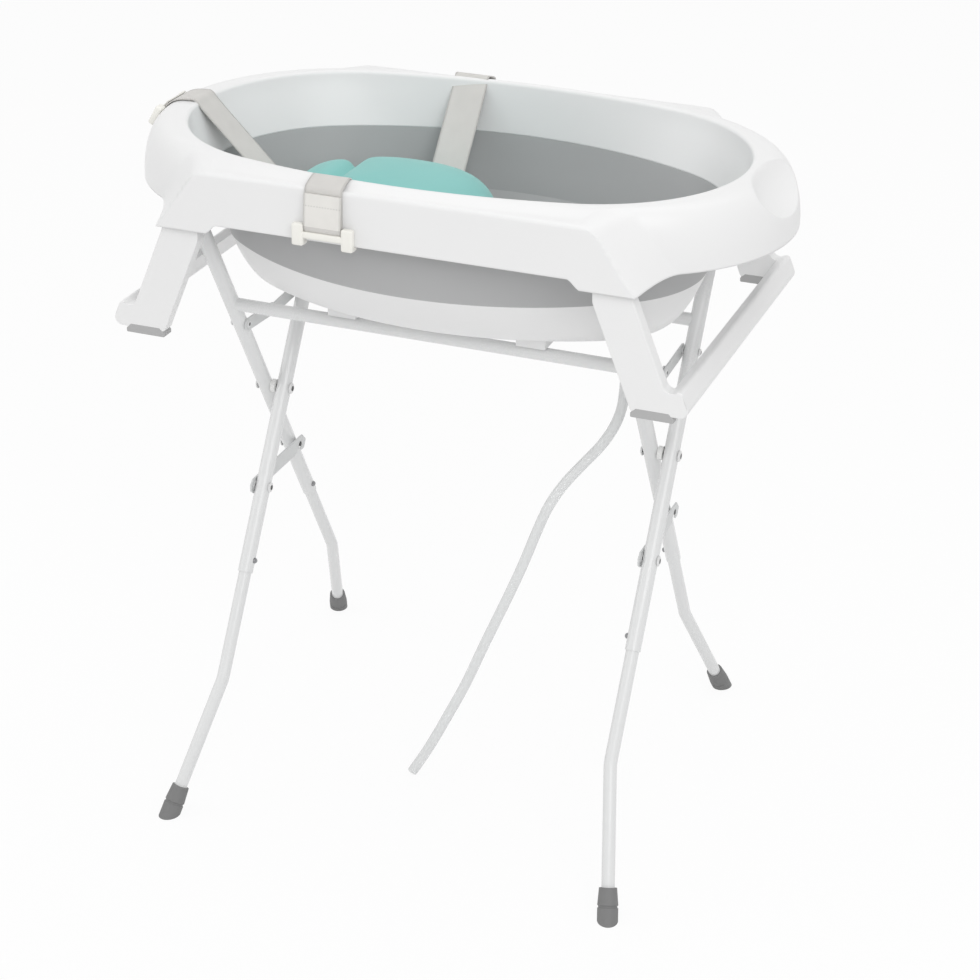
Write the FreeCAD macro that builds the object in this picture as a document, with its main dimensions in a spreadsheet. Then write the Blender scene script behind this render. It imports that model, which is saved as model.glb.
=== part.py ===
"""Collapsible baby bath on a crossed folding tube stand, in millimetres and degrees.

X runs along the bath, Y from its front to its back and Z up. The origin is on the floor
under the middle of the bath. The stand is two equal tube frames: the front frame has its
feet at the front and its tops at the back, and the rear frame is the same frame turned
half round, so both are drawn by the same functions.
"""
import FreeCAD, Part
import math
import os
import re
import Sketcher
from FreeCAD import Placement, Rotation, Vector

SIZES = {
    # Stand tubes
    "tube_od": 19,
    "tube_wall": 1.2,
    "leg_wall": 1.2,
    "leg_clearance": 0.3,
    "side_gap": 6.4,
    "pivot_drop": 150,
    "joint_drop": 205,
    "insert_depth": 60,
    "bend_height": 154,
    "bend_radius": 60,
    "frame_inset": 40.3,
    "foot_flare": 33.3,
    "tube_top_drop": 8,
    "crossbar_od": 16,
    # Clearances and cuts shared by several pieces
    "seat_clearance": 0.3,
    "base_clearance": 11.98,
    "pin_clearance": 0.05,
    "head_play": 0.15,
    "overrun": 10,
    # Feet and tube plugs
    "foot_od": 25,
    "foot_top_od": 21.5,
    "foot_length": 38,
    "foot_sole": 9,
    "foot_dip": 12,
    "groove_height": 14,
    "groove_width": 2.6,
    "groove_depth": 1.1,
    "plug_head": 3,
    "plug_bevel": 1.5,
    "plug_spigot": 12,
    # Main pivots
    "pivot_rivet_d": 6,
    "pivot_head_d": 14,
    "pivot_head_h": 2.6,
    "spacer_od": 17,
    # Folding stays between the frames
    "stay_below": 32.7,
    "stay_drop": 4,
    "stay_width": 16,
    "stay_thickness": 2,
    "stay_lap_gap": 0.6,
    "stay_rivet_d": 4,
    "stay_head_d": 9,
    "stay_head_h": 1,
    "stay_outer_head_h": 2.2,
    # Latch bars under the pivots
    "latch_drop": 110,
    "latch_height": 20,
    "latch_thickness": 2.2,
    "latch_face_gap": 0.8,
    "latch_tail": 12,
    "latch_nose": 17,
    "latch_rivet_d": 5,
    "latch_head_d": 13,
    "latch_pin_d": 6,
    "latch_pin_play": 0.4,
    # Snap buttons of the lower legs
    "button_d": 7,
    "button_proud": 3,
    "button_play": 0.2,
    "button_rise": 14,
    "button_crown": 1.6,
    "leaf_thickness": 0.8,
    "leaf_width": 8,
    "leaf_length": 24,
    "leaf_offset": 4.2,
    # Bath base
    "bath_seat_height": 626,
    "base_lift": 16,
    "base_depth": 66,
    "base_wall": 3,
    "base_end_taper": 49,
    "base_side_taper": 78,
    "saddle_length": 36,
    "saddle_offset": 120,
    # Collapsible wall
    "wall_height": 72,
    "wall_thickness": 3,
    "throat_width": 412,
    "wall_end_flare": 24,
    "wall_side_flare": 10,
    # Rim
    "rim_length": 800,
    "rim_depth": 72,
    "rim_wall": 3,
    "crest_inset": 26,
    "crest_side_inset": 1,
    "lip_height": 65,
    "lip_end_width": 55,
    "lip_side_width": 9.5,
    "mouth_end_flare": 24,
    "mouth_side_flare": 6.5,
    "panel_stand": 13,
    "panel_end_inset": 112,
    "panel_slant": 53,
    "panel_top_drop": 7,
    "panel_height": 73,
    "panel_foot_length": 76,
    "panel_notch_rise": 11,
    "panel_corner": 32,
    "scoop_depth": 37,
    "scoop_reach": 85,
    "scoop_half_width": 115,
    "scoop_half_height": 66,
    "scoop_rise": 15,
    # Folding legs of the bath
    "hinge_inset": 38,
    "leg_hinge_drop": 63,
    "leg_pin_d": 8,
    "leg_spread": 60.6,
    "knuckle_d": 28,
    "arm_width": 46,
    "arm_neck": 24,
    "arm_thickness": 17.5,
    "arm_side_gap": 0.4,
    "leg_lift": 6,
    "pad_thickness": 7,
    "pad_inset": 0.8,
    "rail_thickness": 14,
    "rail_height": 34,
    "leg_toe": 18,
    "toe_corner": 10,
    "cheek_length": 34,
    "cheek_thickness": 8,
    "boss_d": 18,
    "boss_height": 2.6,
    "leg_pin_grip": 1.8,
    # Drain
    "drain_inset": 40,
    "drain_bore": 30,
    "drain_flange_d": 48,
    "drain_flange_h": 4,
    "drain_cup_depth": 24,
    "drain_spout_d": 17,
    "drain_spout_h": 30,
    "drain_wall": 2,
    "stopper_play": 0.4,
    "stopper_flange_d": 40,
    "stopper_flange_h": 3.2,
    "stopper_knob_d": 12,
    "stopper_knob_h": 11,
    "hose_d": 13,
    # Cushion, straps and clips
    "cushion_length": 230,
    "cushion_width": 240,
    "cushion_height": 140,
    "head_length": 112,
    "head_width": 176,
    "head_inset": 72,
    "lobe_spacing": 96,
    "head_height": 122,
    "strap_width": 45,
    "strap_thickness": 1.6,
    "strap_lift": 0.4,
    "strap_shift": 5,
    "strap_end_rise": 100,
    "strap_end_gap": 10,
    "clip_block_length": 14,
    "clip_block_height": 26,
    "clip_block_depth": 8.7,
    "clip_bar_height": 8,
    "clip_bar_depth": 6,
    "clip_side_gap": 0.6,
    "clip_hook_height": 4.5,
    "clip_hook_depth": 9,
    "head_clip_drop": 33,
}

# Shares along the height of the base, of its growth from foot to seam.
BASE_HEIGHT_SHARES = (0, 0.11, 0.354, 0.78, 1)
BASE_SWELL_SHARES = (0, 0.29, 0.6, 0.855, 1)
# Shares along the height of the rim, of its drawing in from skirt to crest.
RIM_HEIGHT_SHARES = (0, 0.736, 0.903, 1)
RIM_INSET_SHARES = (0, 0.42, 0.577, 1)
# Shares of a lobe's height and half size, up the side of the cushion.
CUSHION_HEIGHT_SHARES = (0, 0.09, 0.28, 0.5, 0.7, 0.85, 0.95, 1)
CUSHION_SIZE_SHARES = (0.76, 0.92, 0.9, 0.99, 0.93, 0.76, 0.5, 0.16)
LOBE_ROUND_SHARE = 0.9
# Shares of an oval's half width that its round ends have as radius.
END_ROUND_SHARES = {"base_foot": 0.6533, "seam": 0.7041, "throat": 0.8155, "mouth": 0.9129, "rim": 0.9234}
# Shares of a head's radius and height where its bevel ends, also used on the latch bar's ends.
BEVEL_CROWN_SHARE = 0.65
BEVEL_EDGE_SHARE = 0.45
# Share of a fillet's radius within which an edge counts as standing on a corner.
CORNER_NEAR_SHARE = 0.45

# Sizes that follow the driving ones, each from those above it.
FOLLOWING_SIZES = {
    "mouth_length": "rim_length - 2 * lip_end_width",
    "throat_length": "mouth_length - 2 * mouth_end_flare",
    "seam_length": "throat_length - 2 * wall_end_flare",
    "base_foot_length": "seam_length - 2 * base_end_taper",
    "mouth_width": "throat_width + 2 * mouth_side_flare",
    "rim_width": "mouth_width + 2 * lip_side_width",
    "seam_width": "throat_width - 2 * wall_side_flare",
    "base_foot_width": "seam_width - 2 * base_side_taper",
    "panel_span": "rim_width + 2 * panel_stand",
    "panel_bottom_length": "rim_length - 2 * panel_end_inset",
    "panel_top_length": "panel_bottom_length - 2 * panel_slant",
    "panel_notch_length": "panel_bottom_length - 2 * panel_foot_length",
    "leg_hinge_spacing": "panel_bottom_length - 2 * hinge_inset",
    "frame_spacing": "seam_length - 2 * frame_inset",
    "foot_spacing": "frame_spacing + 2 * foot_flare",
    "lap_offset": "(tube_od + side_gap) / 2",
    "tube_bore": "tube_od - 2 * tube_wall",
    "leg_od": "tube_bore - 2 * leg_clearance",
    "leg_bore": "leg_od - 2 * leg_wall",
    "pivot_height": "bath_seat_height - pivot_drop",
    "joint_height": "pivot_height - joint_drop",
    "latch_level": "pivot_height - latch_drop",
    "crossbar_height": "bath_seat_height - seat_clearance - crossbar_od / 2",
    "stay_height": "crossbar_height - stay_below",
    "stay_rise": "stay_height - pivot_height",
    "base_bottom_height": "bath_seat_height + base_lift",
    "throat_height": "base_bottom_height + base_depth + wall_height",
    "crest_height": "throat_height + lip_height",
    "skirt_bottom": "crest_height - rim_depth",
    "panel_top": "crest_height - panel_top_drop",
    "notch_height": "panel_top - panel_height + panel_notch_rise",
    "hinge_height": "crest_height - leg_hinge_drop",
    "leg_end_height": "bath_seat_height + leg_lift",
    "arm_face": "panel_span / 2 - rim_wall - boss_height - arm_side_gap",
    "drain_offset": "base_foot_length / 2 - drain_inset",
    "head_offset": "base_foot_length / 2 - head_inset",
    "cushion_offset": "head_offset - lobe_spacing",
    "strap_offset": "cushion_offset - strap_shift",
}

# Route of the drain hose: x, y, z in millimetres, from the spout down to the floor.
HOSE_ROUTE = (
    (208, 0, 584),
    (208, 2, 549),
    (202, 4, 512),
    (186, 0, 478),
    (163, -8, 449),
    (141, -17, 421),
    (123, -24, 389),
    (110, -29, 351),
    (98, -33, 313),
    (83, -39, 271),
    (66, -46, 227),
    (48, -53, 180),
    (31, -59, 133),
    (12, -67, 91),
    (-4, -73, 55),
    (-19, -79, 25),
    (-31, -84, 4.2),
)
ARC_REACH_SHARE = 0.45

ORIGIN = Vector(0, 0, 0)
AXIS_X = Vector(1, 0, 0)
AXIS_Y = Vector(0, 1, 0)
AXIS_Z = Vector(0, 0, 1)
UPRIGHT = Rotation()
QUARTER_TURN = 90
HALF_TURN = 180
FULL_TURN = 360
DIAGONAL = math.hypot(1, 1)
ALONG_X = Rotation(AXIS_Y, QUARTER_TURN)
AGAINST_X = Rotation(AXIS_Y, -QUARTER_TURN)
ALONG_Y = Rotation(AXIS_X, -QUARTER_TURN)
FACING_X = Rotation(AXIS_Y, AXIS_Z, AXIS_X, "ZXY")
FACING_FRONT = Rotation(AXIS_X, QUARTER_TURN)

doc = FreeCAD.newDocument("BabyBath")
sheet = doc.addObject("Spreadsheet::Sheet", "sizes")
nodes = []


# The sheet of sizes


def add_sizes(values):
    """Write each value as a plain number in the next free row, with its name as alias."""
    first = len(sheet.getUsedCells()) // 2 + 1
    for row, (alias, value) in enumerate(values.items(), start=first):
        sheet.set("A%d" % row, alias.replace("_", " "))
        sheet.set("B%d" % row, repr(value))
        sheet.setAlias("B%d" % row, alias)
    doc.recompute()


def linked(text):
    """Expression text with every size name pointed at the sheet."""
    return re.sub(r"[a-z][a-z_]+", lambda word: "sizes." + word.group(), text)


def worth(text):
    """Value in millimetres or degrees of an expression on size names."""
    return float(sheet.evalExpression(linked(text)))


# Solids bound to the sheet


def cylinder(radius, height, at, turn=UPRIGHT):
    solid = doc.addObject("Part::Cylinder", "cylinder")
    solid.setExpression("Radius", linked(radius))
    solid.setExpression("Height", linked(height))
    solid.Placement = Placement(at, turn)
    return solid


def box(length, width, height, at, turn=UPRIGHT):
    """Box with its lowest corner at the point given, before its turn."""
    solid = doc.addObject("Part::Box", "box")
    solid.setExpression("Length", linked(length))
    solid.setExpression("Width", linked(width))
    solid.setExpression("Height", linked(height))
    solid.Placement = Placement(at, turn)
    return solid


def fuse(*solids):
    joined = doc.addObject("Part::MultiFuse", "fuse")
    joined.Shapes = list(solids)
    return joined


def cut(solid, *tools):
    pared = doc.addObject("Part::Cut", "cut")
    pared.Base = solid
    pared.Tool = tools[0] if len(tools) == 1 else fuse(*tools)
    return pared


def common(solid, tool):
    shared = doc.addObject("Part::Common", "common")
    shared.Base = solid
    shared.Tool = tool
    return shared


def group(*solids):
    """Several separate solids that share one node."""
    together = doc.addObject("Part::Compound", "group")
    together.Links = list(solids)
    return together


def new_sketch(body, role, name):
    """Empty sketch on one of the body's own origin planes."""
    plane = next(item for item in body.Origin.OriginFeatures if item.Role == role)
    sketch = body.newObject("Sketcher::SketchObject", name)
    sketch.AttachmentSupport = (plane, [""])
    sketch.MapMode = "FlatFace"
    return sketch


def draw_outline(sketch, corners):
    """Closed outline whose corners are pairs of expressions, each bound to the sheet."""
    points = [Vector(worth(across), worth(along), 0) for across, along in corners]
    count = len(points)
    for index in range(count):
        sketch.addGeometry(Part.LineSegment(points[index], points[(index + 1) % count]))
    for index in range(count):
        sketch.addConstraint(Sketcher.Constraint("Coincident", index, 2, (index + 1) % count, 1))
    for index, corner in enumerate(corners):
        for kind, text in zip(("DistanceX", "DistanceY"), corner):
            limit = Sketcher.Constraint(kind, -1, 1, index, 1, worth(text))
            number = sketch.addConstraint(limit)
            sketch.setExpression("Constraints[%d]" % number, linked(text))


def turned(corners, at, turn=UPRIGHT):
    """Solid of revolution about local Z: corners are (radius, height) expressions."""
    body = doc.addObject("PartDesign::Body", "turned")
    profile = new_sketch(body, "XZ_Plane", "turned_profile")
    draw_outline(profile, corners)
    lathe = body.newObject("PartDesign::Revolution", "lathe")
    lathe.Profile = profile
    lathe.ReferenceAxis = (profile, ["V_Axis"])
    lathe.Angle = FULL_TURN
    body.Placement = Placement(at, turn)
    return body


def plate(corners, thickness, at, turn=UPRIGHT, corner_radius=None, rounded=None):
    """Outline in local XY padded along local Z, with the corners named in rounded filleted."""
    body = doc.addObject("PartDesign::Body", "plate")
    outline = new_sketch(body, "XY_Plane", "plate_outline")
    draw_outline(outline, corners)
    pad = body.newObject("PartDesign::Pad", "plate_pad")
    pad.Profile = outline
    pad.setExpression("Length", linked(thickness))
    if corner_radius:
        doc.recompute()
        round_corners(body, pad, corner_radius, [corners[index] for index in rounded])
    body.Placement = Placement(at, turn)
    return body


def round_corners(body, pad, corner_radius, corners):
    """Fillet the pad's upright edges that stand on the given corners."""
    targets = [Vector(worth(across), worth(along), 0) for across, along in corners]
    near = worth(corner_radius) * CORNER_NEAR_SHARE
    edges = []
    for number, edge in enumerate(pad.Shape.Edges, start=1):
        low = Vector(edge.CenterOfMass.x, edge.CenterOfMass.y, 0)
        upright = len(edge.Vertexes) == 2 and edge.BoundBox.ZLength > near
        if upright and min(low.distanceToPoint(target) for target in targets) < near:
            edges.append("Edge%d" % number)
    fillet = body.newObject("PartDesign::Fillet", "corner_fillet")
    fillet.Base = (pad, edges)
    fillet.setExpression("Radius", linked(corner_radius))


def bent_pipe(run_in, run_out, angle, radius, outer, bore, at, turn):
    """Tube that starts along local Z and bends once towards local -X."""
    body = doc.addObject("PartDesign::Body", "bent_pipe")
    path = new_sketch(body, "XZ_Plane", "pipe_path")
    straight = worth(run_in)
    bend = math.radians(worth(angle))
    curve = worth(radius)
    leave = Vector(curve * math.cos(bend) - curve, straight + curve * math.sin(bend), 0)
    onward = Vector(-math.sin(bend), math.cos(bend), 0) * worth(run_out)
    circle = Part.Circle(Vector(-curve, straight, 0), AXIS_Z, curve)
    path.addGeometry(Part.LineSegment(ORIGIN, Vector(0, straight, 0)))
    path.addGeometry(Part.ArcOfCircle(circle, 0, bend))
    path.addGeometry(Part.LineSegment(leave, leave + onward))
    for limit in (("Coincident", 0, 1, -1, 1), ("Vertical", 0), ("Tangent", 0, 2, 1, 1),
                  ("Tangent", 1, 2, 2, 1)):
        path.addConstraint(Sketcher.Constraint(*limit))
    for text, limit in ((run_in, ("DistanceY", 0, 1, 0, 2, straight)),
                        (radius, ("Radius", 1, curve)),
                        (run_out, ("Distance", 2, worth(run_out)))):
        number = path.addConstraint(Sketcher.Constraint(*limit))
        path.setExpression("Constraints[%d]" % number, linked(text))
    number = path.addConstraint(Sketcher.Constraint("Angle", 0, 1, 2, 1, bend))
    path.setExpression("Constraints[%d]" % number, "(%s) * 1 deg" % linked(angle))
    ring = new_sketch(body, "XY_Plane", "pipe_ring")
    for text in (outer, bore):
        number = ring.addGeometry(Part.Circle(ORIGIN, AXIS_Z, worth(text)))
        ring.addConstraint(Sketcher.Constraint("Coincident", number, 3, -1, 1))
        limit = ring.addConstraint(Sketcher.Constraint("Radius", number, worth(text)))
        ring.setExpression("Constraints[%d]" % limit, linked(text))
    sweep = body.newObject("PartDesign::AdditivePipe", "pipe_sweep")
    sweep.Profile = ring
    sweep.Spine = (path, [])
    body.Placement = Placement(at, turn)
    return body


def oval_wire(half_length, half_width, end_radius, height):
    """Oval of four tangent arcs: two round ends and two flat sides."""
    centre = half_length - end_radius
    side_radius = (centre ** 2 + half_width ** 2 - end_radius ** 2) / (2 * (half_width - end_radius))
    side_centre = side_radius - half_width
    reach = math.hypot(centre, side_centre)
    join = Vector(centre + end_radius * centre / reach, end_radius * side_centre / reach, height)
    corners = [Vector(sx * join.x, sy * join.y, height) for sx, sy in ((1, -1), (1, 1), (-1, 1), (-1, -1))]
    middles = [Vector(half_length, 0, height), Vector(0, half_width, height),
               Vector(-half_length, 0, height), Vector(0, -half_width, height)]
    edges = []
    for index, middle in enumerate(middles):
        edges.append(Part.Arc(corners[index], middle, corners[(index + 1) % 4]).toShape())
    return Part.Wire(edges)


def oval_half_width(half_length, half_width, end_radius, x):
    """Half width of the same oval at a place along its length."""
    centre = half_length - end_radius
    side_radius = (centre ** 2 + half_width ** 2 - end_radius ** 2) / (2 * (half_width - end_radius))
    side_centre = side_radius - half_width
    if x < centre + end_radius * centre / math.hypot(centre, side_centre):
        return math.sqrt(side_radius ** 2 - x ** 2) - side_centre
    return math.sqrt(max(end_radius ** 2 - (x - centre) ** 2, 0))


def oval_loft(sections, centre=ORIGIN, turn=UPRIGHT):
    """Solid through ovals given as (half length, half width, end radius, height)."""
    loft = doc.addObject("Part::Loft", "oval_loft")
    wires = []
    for section in sections:
        wire = doc.addObject("Part::Feature", "oval_section")
        wire.Shape = oval_wire(*section)
        wire.Placement = Placement(centre, turn)
        wires.append(wire)
    loft.Sections = wires
    loft.Solid = True
    loft.Ruled = True
    return loft


def inset(section, amount, height=None):
    """Parallel oval drawn in by an amount, at its own height or another."""
    half_length, half_width, end_radius, own_height = section
    level = own_height if height is None else height
    return (half_length - amount, half_width - amount, end_radius - amount, level)


def node(solid, label, turn=UPRIGHT):
    """Name a finished sub-part and turn it about the stand's upright axis."""
    solid.Label = label
    if turn is not UPRIGHT:
        solid.Placement = Placement(ORIGIN, turn)
    nodes.append(solid)


# Sizes worked out from the driving ones

add_sizes(SIZES)
for alias, text in FOLLOWING_SIZES.items():
    add_sizes({alias: worth(text)})
for name, share in END_ROUND_SHARES.items():
    add_sizes({"%s_radius" % name: worth("%s_width / 2" % name) * share})


def base_sections():
    """Outer ovals of the base, from its foot up to the seam with the wall."""
    foot = [worth("base_foot_%s" % name) for name in ("length", "width", "radius")]
    seam = [worth("seam_%s" % name) for name in ("length", "width", "radius")]
    sections = []
    for rise, swell in zip(BASE_HEIGHT_SHARES, BASE_SWELL_SHARES):
        length, width, radius = [low + (high - low) * swell for low, high in zip(foot, seam)]
        height = worth("base_bottom_height") + worth("base_depth") * rise
        sections.append((length / 2, width / 2, radius, height))
    return sections


def least_lean():
    """Smallest lean, in degrees, that keeps the tubes clear of the bath's base.

    A tube's inner face stands at height * tan(lean) - radius / cos(lean) from the middle,
    which has to reach the base's side plus the clearance at every level.
    """
    inner_face = worth("frame_spacing / 2 - side_gap / 2 - tube_od")
    leans = []
    for half_length, half_width, radius, height in base_sections():
        side = oval_half_width(half_length, half_width, radius, inner_face)
        side += worth("base_clearance")
        rise = height - worth("pivot_height")
        leans.append(math.atan2(side, rise) + math.asin(worth("tube_od / 2") / math.hypot(side, rise)))
    return math.degrees(max(leans))


LEAN = math.radians(least_lean())
SLOPE = math.tan(LEAN)
FLARE = worth("foot_spacing - frame_spacing") / worth("2 * bend_height")
FLARE_ANGLE = math.atan(FLARE * math.cos(LEAN))
LEG_STRETCH = math.sqrt(1 + SLOPE ** 2 + FLARE ** 2)
BEND_TANGENT = worth("bend_radius") * math.tan(FLARE_ANGLE / 2)
SPLAY = math.atan2(worth("leg_spread"), worth("hinge_height - leg_end_height"))

add_sizes({
    "stay_reach": worth("stay_rise") * SLOPE,
    "latch_reach": worth("2 * latch_drop") * SLOPE,
    "flare_angle": math.degrees(FLARE_ANGLE),
    "tube_length": worth("throat_height - tube_top_drop - joint_height") / math.cos(LEAN),
    "leg_run_in": worth("insert_depth") + worth("joint_height - bend_height") / math.cos(LEAN)
    - BEND_TANGENT,
    "leg_run_out": worth("bend_height") * LEG_STRETCH - worth("foot_sole") - BEND_TANGENT,
})
add_sizes({"stay_length": math.hypot(worth("stay_reach"), worth("stay_drop"))})

FRONT_FRAME = UPRIGHT
REAR_FRAME = Rotation(AXIS_Z, HALF_TURN)
UP_TUBE = Rotation(AXIS_X, -math.degrees(LEAN))
FRAMES = (("front", FRONT_FRAME, 1), ("rear", REAR_FRAME, -1))


def side_name(hand):
    return "right" if hand > 0 else "left"


def tube_x(hand):
    """Place of the tube on one hand of the front frame, which lies outside on the right."""
    return hand * worth("frame_spacing / 2") + worth("lap_offset")


def on_tube(hand, height):
    """Point on a front frame tube's axis at a height."""
    return Vector(tube_x(hand), (height - worth("pivot_height")) * SLOPE, height)


def cross_hole(hand, height, radius):
    """Cutter straight across a tube, along X."""
    start = on_tube(hand, height) - AXIS_X * worth("tube_od / 2 + overrun")
    return cylinder(radius, "tube_od + 2 * overrun", start, ALONG_X)


def button_hole(hand):
    """Cutter through the wall that faces the middle of the stand."""
    start = on_tube(hand, worth("joint_height + button_rise"))
    return cylinder("button_d / 2 + button_play", "tube_od", start, AGAINST_X if hand > 0 else ALONG_X)


# Tubes of the stand


def upper_tube(hand, latch_hole):
    start = on_tube(hand, worth("joint_height"))
    outside = cylinder("tube_od / 2", "tube_length", start, UP_TUBE)
    below = start - UP_TUBE.multVec(AXIS_Z) * worth("overrun")
    bore = cylinder("tube_bore / 2", "tube_length + 2 * overrun", below, UP_TUBE)
    holes = [
        cross_hole(hand, worth("pivot_height"), "pivot_rivet_d / 2 + pin_clearance"),
        cross_hole(hand, worth("stay_height"), "stay_rivet_d / 2 + pin_clearance"),
        cross_hole(hand, worth("latch_level"), latch_hole),
        button_hole(hand),
    ]
    return cut(outside, bore, *holes)


def crossbar():
    """Bar under the bath, coped to the two tubes that carry it."""
    height = worth("crossbar_height")
    bar = cylinder("crossbar_od / 2", "frame_spacing", on_tube(-1, height), ALONG_X)
    below = UP_TUBE.multVec(AXIS_Z) * worth("tube_od")
    tubes = []
    for hand in (-1, 1):
        tubes.append(cylinder("tube_od / 2", "2 * tube_od", on_tube(hand, height) - below, UP_TUBE))
    return cut(bar, *tubes)


def leg_direction(hand):
    """Unit vector down the flared lower part of a leg."""
    return Vector(hand * FLARE, -SLOPE, -1).normalize()


def lower_leg(hand):
    """Leg that slides into the upper tube, bent outwards towards its foot."""
    down = UP_TUBE.multVec(-AXIS_Z)
    start = on_tube(hand, worth("joint_height")) - down * worth("insert_depth")
    inward = AXIS_X * -hand
    turn = Rotation(inward, down.cross(inward), down, "ZXY")
    pipe = bent_pipe("leg_run_in", "leg_run_out", "flare_angle", "bend_radius",
                     "leg_od / 2", "leg_bore / 2", start, turn)
    return cut(pipe, button_hole(hand))


def foot(hand):
    """Rubber cap on the leg's end, grooved round and cut off level at the floor."""
    corner = on_tube(hand, worth("bend_height"))
    down = leg_direction(hand)
    floor_point = corner + down * (worth("bend_height") * LEG_STRETCH)
    up = Rotation(AXIS_Z, -down)
    cap = turned((
        ("0", "-foot_dip"),
        ("foot_od / 2", "-foot_dip"),
        ("foot_od / 2", "groove_height"),
        ("foot_od / 2 - groove_depth", "groove_height + groove_depth"),
        ("foot_od / 2 - groove_depth", "groove_height + groove_width"),
        ("foot_od / 2", "groove_height + groove_width + groove_depth"),
        ("foot_top_od / 2", "foot_length"),
        ("leg_od / 2 + pin_clearance", "foot_length"),
        ("leg_od / 2 + pin_clearance", "foot_sole"),
        ("0", "foot_sole"),
    ), floor_point, up)
    corner_point = floor_point - Vector(worth("foot_od"), worth("foot_od"), worth("2 * foot_od"))
    return cut(cap, box("2 * foot_od", "2 * foot_od", "2 * foot_od", corner_point))


def tube_plug(hand):
    """Push-in cap that closes the open top of a tube."""
    top = on_tube(hand, worth("joint_height")) + UP_TUBE.multVec(AXIS_Z) * worth("tube_length")
    return turned((
        ("0", "-plug_spigot"),
        ("tube_bore / 2 - pin_clearance", "-plug_spigot"),
        ("tube_bore / 2 - pin_clearance", "0"),
        ("tube_od / 2", "0"),
        ("tube_od / 2", "plug_head - plug_bevel"),
        ("tube_od / 2 - plug_bevel", "plug_head"),
        ("0", "plug_head"),
    ), top, UP_TUBE)


def make_frames():
    for name, turn, facing in FRAMES:
        latch_d = "latch_rivet_d" if facing > 0 else "latch_pin_d"
        for hand in (-1, 1):
            side = side_name(hand * facing)
            latch_hole = "%s / 2 + pin_clearance" % latch_d
            node(upper_tube(hand, latch_hole), "%s_frame_%s_tube" % (name, side), turn)
            node(lower_leg(hand), "%s_%s_lower_leg" % (name, side), turn)
            node(foot(hand), "%s_%s_foot" % (name, side), turn)
        node(crossbar(), "%s_frame_crossbar" % name, turn)
        node(group(*[tube_plug(hand) for hand in (-1, 1)]), "%s_tube_plugs" % name, turn)


# Pivots, stays and latches between the two frames


def rivet_corners(shank, head, head_height, start, end):
    """Half section of a round rivet with a bevelled head from start down, shank up to end."""
    crown = "%s * %g" % (head, BEVEL_CROWN_SHARE)
    edge = "%s - %s * %g" % (start, head_height, BEVEL_EDGE_SHARE)
    return [("0", "%s - %s" % (start, head_height)), (crown, "%s - %s" % (start, head_height)),
            (head, edge), (head, start), (shank, start), (shank, end)]


def pivot_rivet(hand):
    """Rivet through both tubes, with a bevelled head at each end."""
    reach = "(tube_od + side_gap / 2 + head_play)"
    corners = rivet_corners("pivot_rivet_d / 2", "pivot_head_d / 2", "pivot_head_h", "-%s" % reach, reach)
    corners += [
        ("pivot_head_d / 2", reach),
        ("pivot_head_d / 2", "%s + pivot_head_h * %g" % (reach, BEVEL_EDGE_SHARE)),
        ("pivot_head_d / 2 * %g" % BEVEL_CROWN_SHARE, "%s + pivot_head_h" % reach),
        ("0", "%s + pivot_head_h" % reach),
    ]
    return turned(corners, pivot_point(hand), ALONG_X)


def pivot_point(hand):
    """Middle of the gap between the two tubes of one side, on the pivot axis."""
    return Vector(hand * worth("frame_spacing / 2"), 0, worth("pivot_height"))


def pivot_spacer(hand):
    thickness = "side_gap - 2 * head_play"
    start = pivot_point(hand) - AXIS_X * worth("side_gap / 2 - head_play")
    ring = cylinder("spacer_od / 2", thickness, start, ALONG_X)
    hole_start = start - AXIS_X * worth("overrun")
    hole = cylinder("pivot_rivet_d / 2 + pin_clearance", "2 * overrun + side_gap", hole_start, ALONG_X)
    return cut(ring, hole)


def gap_point(hand, offset, y, z):
    """Point in one side's gap, with its X counted from the rear frame's tube."""
    return Vector(hand * worth("frame_spacing / 2") - worth("side_gap / 2") + offset, y, z)


def stay(hand, facing, offset):
    """Flat link with round ends, from a tube's rivet to the middle joint."""
    root = gap_point(hand, offset, facing * worth("stay_reach"), worth("stay_height"))
    tilt = math.degrees(math.atan2(worth("stay_drop"), worth("stay_reach")))
    turn = Rotation(AXIS_X, facing * tilt) * Rotation(AXIS_Y * -facing, AXIS_Z * -facing, AXIS_X, "ZXY")
    tip = root + turn.multVec(AXIS_X) * worth("stay_length")
    corners = (("0", "-stay_width / 2"), ("stay_length", "-stay_width / 2"),
               ("stay_length", "stay_width / 2"), ("0", "stay_width / 2"))
    bar = plate(corners, "stay_thickness", root, turn)
    ends = [cylinder("stay_width / 2", "stay_thickness", point, ALONG_X) for point in (root, tip)]
    holes = []
    for point in (root, tip):
        start = point - AXIS_X * worth("overrun")
        holes.append(cylinder("stay_rivet_d / 2 + pin_clearance", "2 * overrun", start, ALONG_X))
    return cut(fuse(bar, *ends), *holes)


REAR_STAY_OFFSET = worth("seat_clearance")
FRONT_STAY_OFFSET = worth("seat_clearance + stay_thickness + stay_lap_gap")


def mid_rivet(hand):
    """Rivet of the middle joint, seated in the front stay."""
    height = worth("stay_height - stay_drop")
    face = gap_point(hand, FRONT_STAY_OFFSET, 0, height)
    return turned((
        ("0", "0"),
        ("stay_rivet_d / 2", "0"),
        ("stay_rivet_d / 2", "stay_thickness"),
        ("stay_head_d / 2", "stay_thickness"),
        ("stay_head_d / 2 * %g" % BEVEL_CROWN_SHARE, "stay_thickness + stay_head_h"),
        ("0", "stay_thickness + stay_head_h"),
    ), face, ALONG_X)


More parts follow.
